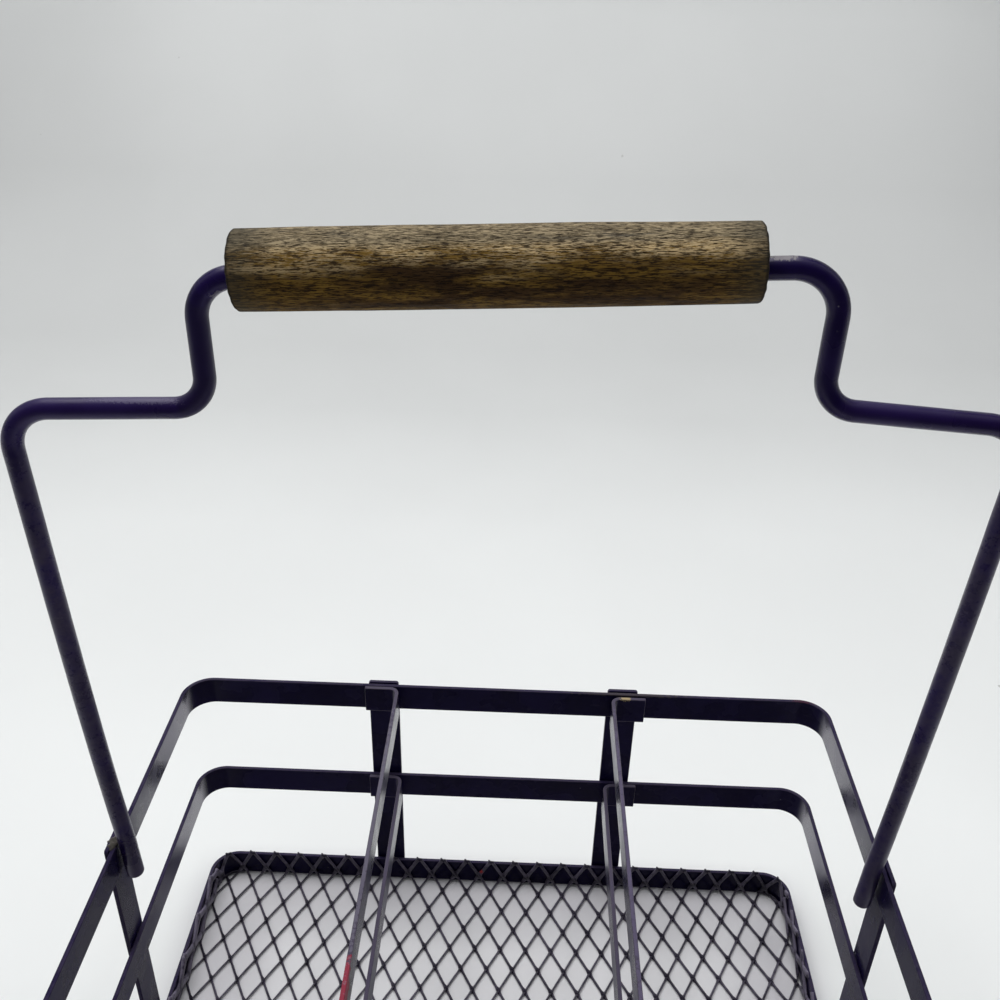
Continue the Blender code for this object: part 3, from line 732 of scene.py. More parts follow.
@dataclass
class StrapFrame:
    """The welded frame: three rings, six uprights and four dividers."""

    finish: PaintFinish
    divider_finish: PaintFinish
    length: float = 0.265
    depth: float = 0.174
    corner_radius: float = 0.0115
    upright_width: float = 0.0125
    upright_rise: float = 0.0005
    upright_corner: float = 0.0011
    upright_spacing: float = 0.0997
    upright_shift: float = -0.00095
    divider_offset: float = 0.0447
    tab_reach: float = 0.0135
    bend_radius: float = 0.003
    right_divider_drop: float = 0.0008
    bow: Pair = (0.09, 0.00003)
    upright_step: float = 0.008
    divider_step: float = 0.006
    strap: Strap = field(default_factory=Strap)

    PATCHES = {
        "top_ring": (
            Patch((0.1246, 0.0870, 0.1160), (0.006, 0.003, 0.0006), (0.10, 0.026, 0.030), 0.4),
            Patch((0.052, 0.0862, 0.1158), (0.022, 0.002, 0.0006), (0.07, 0.06, 0.05), 0.5),
        ),
        "top_divider_left": (
            Patch((-0.0440, -0.068, 0.1100), (0.0010, 0.0260, 0.0060), (0.11, 0.095, 0.062), 0.5, 300.0),
            Patch((-0.0448, -0.0530, 0.1160), (0.0030, 0.0105, 0.0060), (0.28, 0.040, 0.062), 0.9, 250.0),
            Patch((-0.0448, -0.0740, 0.1160), (0.0024, 0.0160, 0.0056), (0.28, 0.040, 0.062), 0.85, 250.0),
            Patch((-0.0447, 0.010, 0.1160), (0.001, 0.060, 0.0006), (0.22, 0.21, 0.26), 0.35),
        ),
        "top_divider_right": (
            Patch((0.0498, 0.0846, 0.1150), (0.0022, 0.002, 0.0011), (0.42, 0.33, 0.18), 0.85, 1200.0),
            Patch((0.0447, 0.0, 0.1155), (0.001, 0.085, 0.0007), (0.14, 0.12, 0.20), 0.45),
        ),
    }

    def strap_piece(self, node: str, points: Array, mask: Array, ring: bool = False) -> bpy.types.Object:
        """Make one strap with the worn places that it has.

        Args:
            node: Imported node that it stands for.
            points: Its points, sections by points of a section by 3.
            mask: How much each point lies on an edge.
            ring: Whether it closes on itself.

        Returns:
            The strap.
        """
        finish = self.divider_finish if "divider" in node else self.finish
        material = finish.material(f"{node}_finish", self.PATCHES.get(node, ()))
        piece = make_piece(f"{node}_strap", [points[None]], material, mask, ring)
        return placed(piece, "frame", node)

    def ring(self, level: Level) -> bpy.types.Object:
        """Build one ring: the strap's section on edge, carried round a rounded rectangle.

        Args:
            level: Which ring.

        Returns:
            The ring.
        """
        radius = self.corner_radius - self.strap.thickness / 2
        flat = np.array([self.length / 2, self.depth / 2]) - self.corner_radius
        steps = np.linspace(0.0, 1.0, 26)[1:-1, None]
        ways = np.array([(-1, 0), (0, -1), (1, 0), (0, 1)])
        parts, normals = [], []
        for turn, sign in enumerate(((1, 1), (-1, 1), (-1, -1), (1, -1))):
            angles = np.pi / 2 * (turn + np.linspace(0.0, 1.0, 19))
            spokes = np.stack([np.cos(angles), np.sin(angles)], axis=1)
            corner = np.array(sign) * flat + radius * spokes
            parts += [corner, corner[-1] + ways[turn] * 2 * flat[turn % 2] * steps]
            normals += [spokes, np.repeat(spokes[-1:], len(steps), axis=0)]
        path, normal = np.vstack(parts), np.vstack(normals)
        centres = np.column_stack([path, np.full(len(path), level.value + self.strap.height / 2)])
        section, edges = strap_section(self.strap.thickness, self.strap.height, self.strap.rounding)
        points = sweep(centres, np.column_stack([normal, np.zeros(len(path))]), UP, section)
        mask = np.tile(edges, (len(path), 1))
        return self.strap_piece(f"{level.name.lower()}_ring", points, mask, ring=True)

    def upright(self, node: str, x: float, y: float, outward: Pair) -> bpy.types.Object:
        """Build one upright: a strap along Z whose thickness points outwards, its face's corners rounded.

        Args:
            node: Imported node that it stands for.
            x: Middle of the strap.
            y: Middle of the strap.
            outward: Unit direction away from the caddy.

        Returns:
            The upright.
        """
        top = Level.TOP.value + self.strap.height + self.upright_rise
        ends = np.concatenate([self.strap.stations, end_stations(self.upright_corner, 6, 0.2)])
        path, _, run = with_stations(np.array([(0.0, 0.0), (0.0, top)]), self.upright_step, ends)
        bow = ripple(run, len(node) + int(abs(x * 1000)), *self.bow)
        centres = np.column_stack([x + outward[0] * bow, y + outward[1] * bow, path[:, 1]])
        sections, mask = self.strap.end_sections(run, self.upright_width)
        narrowed = self.upright_corner * drawn_in(end_distances(run), self.upright_corner)
        sections[..., 1] -= np.sign(sections[..., 1]) * narrowed[:, None]
        points = sweep(centres, (*outward, 0.0), (-outward[1], outward[0], 0.0), sections)
        return self.strap_piece(node, points, mask)

    def divider(self, level: Level, side: Side) -> bpy.types.Object:
        """Build one divider: a strap on edge along Y, with a tab bent outwards at each end.

        Args:
            level: The ring that carries it.
            side: Left or right.

        Returns:
            The divider.
        """
        tab_y = self.depth / 2 - 1.5 * self.strap.thickness - WELD_GAP
        blade, end = (side.value * (self.divider_offset + reach) for reach in (0.0, self.tab_reach))
        corners = [(end, -tab_y), (blade, -tab_y), (blade, tab_y), (end, tab_y)]
        path = round_corners(corners, [self.bend_radius] * 2, 10)
        path, tangent, run = with_stations(path, self.divider_step, self.strap.stations)
        drop = self.right_divider_drop if (level, side) == (Level.TOP, Side.RIGHT) else 0.0
        centres = np.column_stack([path, np.full(len(path), level.value + self.strap.height / 2 - drop)])
        across = np.column_stack([-tangent[:, 1], tangent[:, 0], np.zeros(len(path))])
        sections, mask = self.strap.end_sections(run, self.strap.height)
        points = sweep(centres, across, UP, sections)
        return self.strap_piece(f"{level.name.lower()}_divider_{side.word}", points, mask)

    def build(self) -> list[bpy.types.Object]:
        """Build every strap of the frame.

        Returns:
            The straps.
        """
        straps = [self.ring(level) for level in Level]
        outward = WELD_GAP + self.strap.thickness / 2
        for side in Side:
            x = side.value * self.upright_spacing / 2 + self.upright_shift
            for row, sign in (("front", -1.0), ("back", 1.0)):
                y = sign * (self.depth / 2 + outward)
                straps.append(self.upright(f"{row}_upright_{side.word}", x, y, (0.0, sign)))
            x = side.value * (self.length / 2 + outward)
            straps.append(self.upright(f"side_upright_{side.word}", x, 0.0, (side.value, 0.0)))
            straps += [self.divider(level, side) for level in (Level.MIDDLE, Level.TOP)]
        return straps


@dataclass
class ExpandedTray:
    """The expanded-metal tray: one sheet of slit and stretched steel, its edge folded up.

    A strand joins each bond of the sheet to a bond in the next row. It is a thin ribbon, tilted out of
    the sheet as the slitting press leaves it.
    """

    finish: PaintFinish
    ring_inner_radius: float = 0.010
    short_way: float = 0.0111
    long_way: float = 0.020
    bond: Pair = (0.0015, 0.0084)
    strand_width: float = 0.00108
    strand_thickness: float = 0.00040
    bond_swell: float = 1.05
    wall_swell: float = 0.50
    side_swell: float = 1.0
    tilt: float = math.radians(36.0)
    sheet_thickness: float = 0.001
    clearance: float = 0.0003
    rim_top: float = 0.0143
    fold_radius: float = 0.0011
    stations: int = 12
    bevel: float = 0.72
    blend: float = 0.001
    web_reach: Pair = (0.00042, 0.00075)
    web_lift: float = 0.00035
    web_inset: float = 0.0001
    web_rub: float = 0.3

    RED_SPOT = Patch((-0.0082, 0.0850, 0.0073), (0.0012, 0.0012, 0.0012), (0.35, 0.02, 0.02), 0.9, 1500.0)

    def __post_init__(self) -> None:
        """Work out the middle surface of the folded sheet."""
        inset = WELD_GAP + self.sheet_thickness / 2
        self.fold = np.array(RING_INNER) - inset
        self.flat = np.array(RING_INNER) - self.ring_inner_radius
        self.corner = self.ring_inner_radius - inset
        self.middle = self.clearance + self.sheet_thickness / 2
        self.reach = self.fold + self.rim_top - self.middle

    def strands(self) -> tuple[Array, Array]:
        """List both ends of every strand of the flat sheet.

        Bonds stand in rows half a long way apart, and every other row is half a short way aside.

        Returns:
            Starts and ends, as rows of two numbers.
        """
        half_x, half_y = self.short_way / 2, self.long_way / 2
        row, column = np.meshgrid(np.arange(-14, 14), np.arange(-16, 16), indexing="ij")
        x = self.bond[0] + column * self.short_way + (row % 2) * half_x
        start = np.stack([x, self.bond[1] + row * half_y], axis=-1).reshape(-1, 2)
        ends = [start + np.array([sign * half_x, half_y]) for sign in (-1, 1)]
        return np.vstack([start, start]), np.vstack(ends)

    def inside_sheet(self, place: Array) -> Array:
        """Say which places lie on the floor or a straight wall of the folded sheet.

        Args:
            place: Places of the flat sheet.

        Returns:
            True for those that do.
        """
        a = np.abs(place)
        long_wall = (a[..., 0] <= self.flat[0]) & (a[..., 1] <= self.reach[1])
        end_wall = (a[..., 1] <= self.flat[1]) & (a[..., 0] <= self.reach[0])
        round_corner = np.linalg.norm(np.maximum(a - self.flat, 0.0), axis=-1) <= self.corner
        return long_wall | end_wall | (round_corner & (a <= self.fold).all(axis=-1))

    def inside_corner(self, place: Array) -> Array:
        """Say which places lie where a long wall goes on round a corner.

        Args:
            place: Places of the flat sheet.

        Returns:
            True for those that do.
        """
        a = np.abs(place)
        along = (a[..., 0] >= self.flat[0]) & (a[..., 0] <= self.flat[0] + self.corner * math.pi / 2)
        return along & (a[..., 1] >= self.fold[1]) & (a[..., 1] <= self.reach[1])

    def folded(self, u: Array, v: Array, h: Array) -> Array:
        """Fold the flat sheet up at its edges.

        Beyond a fold line less the fold's radius r, a place runs round a quarter circle of radius r
        less its height h off the sheet, and then straight up the wall.

        Args:
            u: Places across the sheet.
            v: Places along the sheet.
            h: Heights off the sheet, upwards on the floor and inwards on a wall.

        Returns:
            Points with X, Y and Z.
        """
        r = self.fold_radius
        results = []
        for value, fold in ((u, self.fold[0]), (v, self.fold[1])):
            past = np.abs(value) - (fold - r)
            angle = np.clip(past / (2 * r), 0.0, 1.0) * np.pi / 2
            out = np.where(past > 0.0, fold - r + (r - h) * np.sin(angle), np.abs(value))
            rise = r - (r - h) * np.cos(angle) + np.maximum(past - 2 * r, 0.0)
            results.append((np.sign(value) * out, np.where(past > 0.0, rise, h), past))
        (x, zx, past_x), (y, zy, past_y) = results
        return np.stack([x, y, self.middle + np.where(past_x > past_y, zx, zy)], axis=-1)

    def round_corner(self, u: Array, v: Array, h: Array) -> Array:
        """Bend the long walls round the corners: the run past the flat part becomes an angle.

        Args:
            u: Places across the sheet.
            v: Places along the sheet.
            h: Heights off the sheet, inwards.

        Returns:
            Points with X, Y and Z.
        """
        angle = (np.abs(u) - self.flat[0]) / self.corner
        radius = self.corner - h
        x = np.sign(u) * (self.flat[0] + radius * np.sin(angle))
        y = np.sign(v) * (self.flat[1] + radius * np.cos(angle))
        return np.stack([x, y, self.middle + np.abs(v) - self.fold[1]], axis=-1)

    @staticmethod
    def middle_line(start: Array, end: Array, share: Array) -> Array:
        """Points of straight strands at a share of their length, 0 to 1."""
        share = np.broadcast_to(share, (len(start), share.shape[-1]))
        return start[:, None] + (end - start)[:, None] * share[..., None]

    def ribbons(self, inside: Callable[[Array], Array], bent: Callable[..., Array]) -> tuple[Array, Array]:
        """Build the strands of one part of the sheet.

        A strand's middle runs straight from bond to bond. It keeps the stretch that lies inside the
        part. Its section is a flat hexagon, turned by the tilt about the strand. It is wider at the bonds
        and on the walls, which are seen flatter.

        Args:
            inside: Says which places of the flat sheet are in the part.
            bent: Gives a place of the flat sheet its point in space.

        Returns:
            Points, n strands by stations by 6 by 3, and how much the paint is rubbed at each.
        """
        start, end = self.strands()
        fine = np.linspace(-0.035, 1.035, 61)
        kept = inside(self.middle_line(start, end, fine))
        first = np.where(kept.any(axis=1), kept.argmax(axis=1), 0)
        last = len(fine) - 1 - kept[:, ::-1].argmax(axis=1)
        keep = kept.any(axis=1) & (last - first > 5)
        start, end, first, last = start[keep], end[keep], first[keep], last[keep]
        spacing = np.linspace(0.0, 1.0, self.stations)
        share = fine[first][:, None] + (fine[last] - fine[first])[:, None] * spacing
        middle = self.middle_line(start, end, share)
        ahead = self.middle_line(start, end, share + 0.01) - self.middle_line(start, end, share - 0.01)
        ahead /= np.linalg.norm(ahead, axis=-1, keepdims=True)
        half_w, half_t = self.strand_width / 2, self.strand_thickness / 2
        b = self.bevel
        section = np.array([(1.0, 0.0), (b, 1.0), (-b, 1.0), (-1.0, 0.0), (-b, -1.0), (b, -1.0)])
        on_side, on_long = np.moveaxis(np.clip((np.abs(middle) - self.fold) / self.blend, 0.0, 1.0), -1, 0)
        on_wall = np.maximum(on_side, on_long)
        bond = np.cos(np.pi * share) ** 14
        turn = self.tilt * (1.0 + 0.25 * np.cos(2 * np.pi * share)) * (1.0 - 0.45 * on_wall - 0.3 * on_side)
        swell = 1.0 + self.bond_swell * bond + self.wall_swell * on_wall + self.side_swell * on_side
        wide = half_w * section[:, 0] * swell[..., None]
        thick = half_t * section[:, 1] * (1.0 + on_wall + self.side_swell * on_side)[..., None]
        cosine, sine = np.cos(turn)[..., None], np.sin(turn)[..., None]
        aside = wide * cosine - thick * sine
        u = middle[..., 0, None] + ahead[..., 1, None] * aside
        v = middle[..., 1, None] - ahead[..., 0, None] * aside
        rubbed = (0.55 + 0.45 * on_wall + 0.8 * on_side) * (1.0 - 0.9 * bond)
        return bent(u, v, wide * sine + thick * cosine), np.repeat(rubbed[..., None], len(section), axis=-1)

    def web(self, side: float, back: float) -> Array:
        """Build the small web along the fold of one corner: a round bar on a quarter circle.

        Args:
            side: Sign of the corner's X.
            back: Sign of the corner's Y.

        Returns:
            Points, stations by 8 by 3.
        """
        angles = np.linspace(-0.06, np.pi / 2 + 0.06, 14)
        outward = np.column_stack([side * np.sin(angles), back * np.cos(angles), np.zeros(14)])
        centre = np.array([side * self.flat[0], back * self.flat[1], self.middle + self.web_lift])
        path = centre + outward * (self.corner - self.web_inset)
        return sweep(path, outward, UP, circle(8)[1] * self.web_reach)

    def build(self) -> bpy.types.Object:
        """Build the tray from its strands and corner webs.

        Returns:
            The tray.
        """
        webs = np.stack([self.web(sx, sy) for sx in (-1, 1) for sy in (-1, 1)])
        parts = [self.ribbons(self.inside_sheet, self.folded),
                 self.ribbons(self.inside_corner, self.round_corner),
                 (webs, np.full(webs.shape[:3], self.web_rub))]
        rubbed = np.concatenate([mask.ravel() for _, mask in parts])
        material = self.finish.material("mesh_tray_finish", (self.RED_SPOT,))
        piece = make_piece("mesh_tray_sheet", [bundle for bundle, _ in parts], material, rubbed)
        return placed(piece, "frame", "mesh_tray")


@dataclass
class HandleBail:
    """The bail: one round wire, bent by hand, with both legs welded inside the top ring."""

    finish: PaintFinish
    diameter: float = 0.006
    end_round: float = 0.0014
    frame_top: float = 0.116
    tail: dict[Side, float] = both(0.0031, 0.0043)
    tail_lean: float = 0.040
    spread: dict[Side, float] = both(0.0023, 0.0022)
    spread_height: dict[Side, float] = both(0.052, 0.076)
    lean: dict[Side, float] = both(0.037, 0.040)
    forward: dict[Side, float] = both(0.0013, 0.0005)
    shoulder_outer: dict[Side, float] = both(0.2794, 0.2837)
    shoulder_inner: dict[Side, float] = both(0.2818, 0.2876)
    riser: float = 0.0802
    shoulder_bend: float = 0.0125
    shoulder_reach: float = 1.1
    riser_bend: float = 0.0096
    grip_bend: dict[Side, float] = both(0.0115, 0.0125)
    step: float = 0.004
    wave: Pair = (0.021, 0.0032)
    wave_seed: int = 5
    dust: float = 0.95
    dust_top: float = 0.280
    dust_fade: float = 0.030

    PATCHES = (
        # The first two patches are painted light on the arms, whose tops face the lamp, and the next two are
        # painted shade on the risers.
        Patch((-0.1060, 0.0, 0.2808), (0.0300, 0.0120, 0.0080), (0.0230, 0.0100, 0.0760), 0.40, 40.0),
        Patch((0.1060, 0.0, 0.2858), (0.0300, 0.0120, 0.0080), (0.0230, 0.0100, 0.0700), 0.30, 40.0),
        Patch((-0.0802, 0.0, 0.3000), (0.0100, 0.0120, 0.0170), (0.0050, 0.0022, 0.0220), 0.45, 40.0),
        Patch((0.0802, 0.0, 0.3060), (0.0100, 0.0120, 0.0170), (0.0060, 0.0026, 0.0300), 0.25, 40.0),
        Patch((0.0640, 0.0, 0.3273), (0.0040, 0.0022, 0.0009), (0.30, 0.28, 0.27), 0.55, 900.0),
        Patch((-0.0735, -0.001, 0.3128), (0.0022, 0.004, 0.0022), (0.20, 0.19, 0.22), 0.5, 1300.0),
        # Scuffs and a painted highlight along the top of the left shoulder.
        Patch((-0.100, -0.0008, 0.2840), (0.016, 0.0022, 0.0010), (0.30, 0.27, 0.38), 0.16, 2300.0),
    )

    def straight(self, side: Side) -> float:
        """Height over the ring at which a leg's shoulder bend starts."""
        return self.shoulder_outer[side] - self.frame_top - self.shoulder_reach * self.shoulder_bend

    def leg(self, side: Side) -> Array:
        """Work out one leg below its shoulder.

        Above the ring the offset is the spread times one minus e to the minus height over the spread
        height, plus the lean times the height.

        Args:
            side: Left or right.

        Returns:
            Points with X and Z, from the cut end upwards.
        """
        foot = RING_INNER[0] - WELD_GAP - self.diameter / 2
        shoulder = self.shoulder_outer[side] - self.frame_top
        height = np.append(self.straight(side) * np.linspace(0.0, 1.0, 40) ** 2, shoulder)
        bowed = self.spread[side] * (1.0 - np.exp(-height / self.spread_height[side]))
        x = foot + bowed + self.lean[side] * height
        low = Level.TOP.value - self.tail[side]
        end = foot - self.tail_lean * (self.frame_top - low)
        return np.column_stack([side.value * np.append(end, x), np.append(low, self.frame_top + height)])

    def line(self) -> Array:
        """Work out the wire's middle line from its left end to its right end, with its bends rounded.

        A leg's foot stands in front of the bail's plane, and the leg comes back to it up to its shoulder.

        Returns:
            Points with X, Y and Z.
        """
        legs, tops, radii = {}, {}, {}
        for side in Side:
            legs[side] = self.leg(side)
            x = side.value * self.riser
            tops[side] = [*map(tuple, legs[side][-2:]), (x, self.shoulder_inner[side]),
                          (x, GRIP_LINE_Z + x * math.tan(GRIP_TILT))]
            radii[side] = [self.shoulder_bend, self.riser_bend, self.grip_bend[side]]
        left, right = Side
        bends = round_corners(tops[left] + tops[right][::-1], radii[left] + radii[right][::-1], 22)
        x, z = np.vstack([legs[left][:-2], bends, legs[right][:-2][::-1]]).T
        forward = [self.forward[side] * np.clip(1.0 - (z - self.frame_top) / self.straight(side), 0.0, None)
                   for side in Side]
        return np.column_stack([x, -np.where(x < 0.0, *forward), z])

    def build(self) -> bpy.types.Object:
        """Build the wire: a circle carried along its line, drawn in at both cut ends.

        Returns:
            The wire.
        """
        centres, tangent, run = with_stations(self.line(), self.step, end_stations(self.end_round, 6))
        from_end = end_distances(run)
        radius = self.diameter / 2 - self.end_round * drawn_in(from_end, self.end_round)
        radius = radius * (1.0 + ripple(run, self.wave_seed, *self.wave))
        section = circle(32)[1]
        across = np.column_stack([-tangent[:, 2], np.zeros(len(run)), tangent[:, 0]])
        across /= np.linalg.norm(across, axis=1, keepdims=True)
        points = sweep(centres, across, np.cross(tangent, across), section[None] * radius[:, None, None])
        dusty = self.dust * np.clip((self.dust_top - centres[:, 2]) / self.dust_fade, 0.0, 1.0)
        mask = np.repeat(np.maximum(1.0 - from_end / self.end_round, dusty)[:, None], len(section), axis=1)
        material = self.finish.material("handle_wire_finish", self.PATCHES)
        piece = make_piece("handle_wire_bail", [points[None]], material, mask)
        return placed(piece, "frame", "handle_wire")


@dataclass
class WeldBead:
    """A short lumpy weld bead: a flat round bar along a line.

    Attributes:
        node: Word for its name.
        start: One end of its line.
        end: The other end.
        reach: Half width and half height.
        seed: Seed of its lumps.
    """

    node: str
    start: Point
    end: Point
    reach: Pair
    seed: int

    def build(self, finish: PaintFinish) -> bpy.types.Object:
        """Build the bead: at a share s of its line its size follows the root of the sine of pi times s.

        Args:
            finish: Its finish.

        Returns:
            The bead.
        """
        share = (1.0 - np.cos(np.linspace(0.0, np.pi, 30))) / 2
        angles, section = circle(20)
        span = np.array(self.end) - np.array(self.start)
        tangent = span / np.linalg.norm(span)
        across = np.cross(tangent, UP)
        across /= np.linalg.norm(across)
        phases = np.random.default_rng(self.seed).uniform(0.0, 2 * np.pi, 3)
        lumps = 1.0 + 0.07 * np.sin(5 * angles + phases[2])
        lumps = lumps + 0.16 * np.sin(14.0 * share[:, None] + 2 * angles + phases[0])
        lumps = lumps + 0.12 * np.sin(27.0 * share[:, None] - 3 * angles + phases[1])
        size = (np.sqrt(np.sin(np.pi * np.clip(share, 0.002, 0.998)))[:, None] * lumps)[..., None]
        centres = np.array(self.start) + share[:, None] * span
        points = sweep(centres, across, np.cross(across, tangent), section * self.reach * size)
        name = f"{self.node}_weld"
        piece = make_piece(name, [points[None]], finish.material(f"{name}_finish"), np.ones(points.shape[:2]))
        return placed(piece, "frame")


@dataclass
class WoodGrip:
    """The turned grip, whose bore was drilled a little below its middle."""

    finish: WoodFinish = field(default_factory=WoodFinish)
    length: float = 0.1285
    middle_diameter: float = 0.0204
    end_diameter: dict[Side, float] = both(0.0202, 0.0196)
    end_round: float = 0.0007
    slide: float = -0.0047
    bore: float = 0.0036
    bore_chamfer: float = 0.0005
    off_centre: float = 0.0015
    around: int = 112
    ragged_ends: float = 0.00009
    wave_seed: int = 23
    wave_count: int = 26
    wave_height: float = 0.000013
    wave_lengths: Pair = (0.012, 0.08)
    shrink: float = 0.00004

    @property
    def centre(self) -> Point:
        """Middle of the grip on the wire's line."""
        return (self.slide, 0.0, GRIP_LINE_Z + self.slide * math.tan(GRIP_TILT))

    def profile(self) -> tuple[Array, Array, Array]:
        """Work out the closed half section, from the left rim of the bore round the outside and back.

        Returns:
            Distances along the axis, radii, and how far each ring is set off the wire's line.
        """
        half, rounding = self.length / 2, self.end_round
        quarter = np.linspace(0.0, np.pi / 2, 7)
        left, right = (self.end_diameter[side] / 2 for side in Side)
        body = np.linspace(-half + rounding, half - rounding, 130)[1:-1]
        t = (body + half) / self.length
        swell = self.middle_diameter / 2 - (left + right) / 2
        outer = left + (right - left) * t + swell * (1.0 - (2 * t - 1.0) ** 2)
        arc_run = half - rounding * (1.0 - np.sin(quarter))
        arc_drop = rounding * (1.0 - np.cos(quarter))
        rim = self.bore + self.bore_chamfer
        faces = [np.linspace(rim, end - rounding, 7)[:-1] for end in (left, right)]
        inner = np.linspace(half - self.bore_chamfer, -half + self.bore_chamfer, 12)
        along = np.concatenate([np.full(6, -half), -arc_run[::-1], body, arc_run, np.full(6, half), inner])
        radius = np.concatenate([faces[0], left - arc_drop[::-1], outer, right - arc_drop, faces[1][::-1],
                                 np.full(12, self.bore)])
        off = np.clip((radius - rim) / (right - rounding - rim), 0.0, 1.0) * self.off_centre
        return along, radius, off

    def build(self) -> bpy.types.Object:
        """Build the grip: its half section carried round the wire's line, roughened on the outside.

        The outside moves by short seeded waves along and round the dowel, up to a tenth of a millimetre.

        Returns:
            The grip.
        """
        along, radius, off = self.profile()
        angle, _ = circle(self.around)
        full = self.middle_diameter / 2
        outside = np.clip((radius - 0.6 * full) / (0.3 * full), 0.0, 1.0)
        ring = radius[:, None] + outside[:, None] * self.roughness_field(along[:, None], angle[None])
        upward = off[:, None] + ring * np.cos(angle)
        ragged = self.ragged_ends * np.sin(17 * angle + 1.3) * np.sin(4 * angle)
        at_end = np.where(np.abs(along) > self.length / 2 - self.end_round, 1.0, 0.0)
        run = along[:, None] + (at_end * outside)[:, None] * ragged
        cosine, sine = math.cos(GRIP_TILT), math.sin(GRIP_TILT)
        points = np.stack([self.centre[0] + run * cosine - upward * sine, ring * np.sin(angle),
                           self.centre[2] + run * sine + upward * cosine], axis=-1)
        material = self.finish.material("wood_grip_finish", self.centre, GRIP_TILT, self.length / 2)
        piece = make_piece("wood_grip_dowel", [points[None]], material, ring=True)
        return placed(piece, "grip", "wood_grip")

    def roughness_field(self, along: Array, angle: Array) -> Array:
        """Add up seeded waves: long ones along the grain and short ones round the dowel.

        Args:
            along: Distances along the axis, as a column.
            angle: Angles round it, as a row.

        Returns:
            The outward offset at each.
        """
        maker = np.random.default_rng(self.wave_seed)
        total = np.zeros(np.broadcast_shapes(along.shape, angle.shape))
        for _ in range(self.wave_count):
            turns = maker.integers(1, 34)
            wave = maker.uniform(*self.wave_lengths)
            phase = maker.uniform(0.0, 2 * np.pi, 2)
            total += np.sin(2 * np.pi * along / wave + phase[0]) * np.sin(turns * angle + phase[1])
        return total * self.wave_height - self.shrink


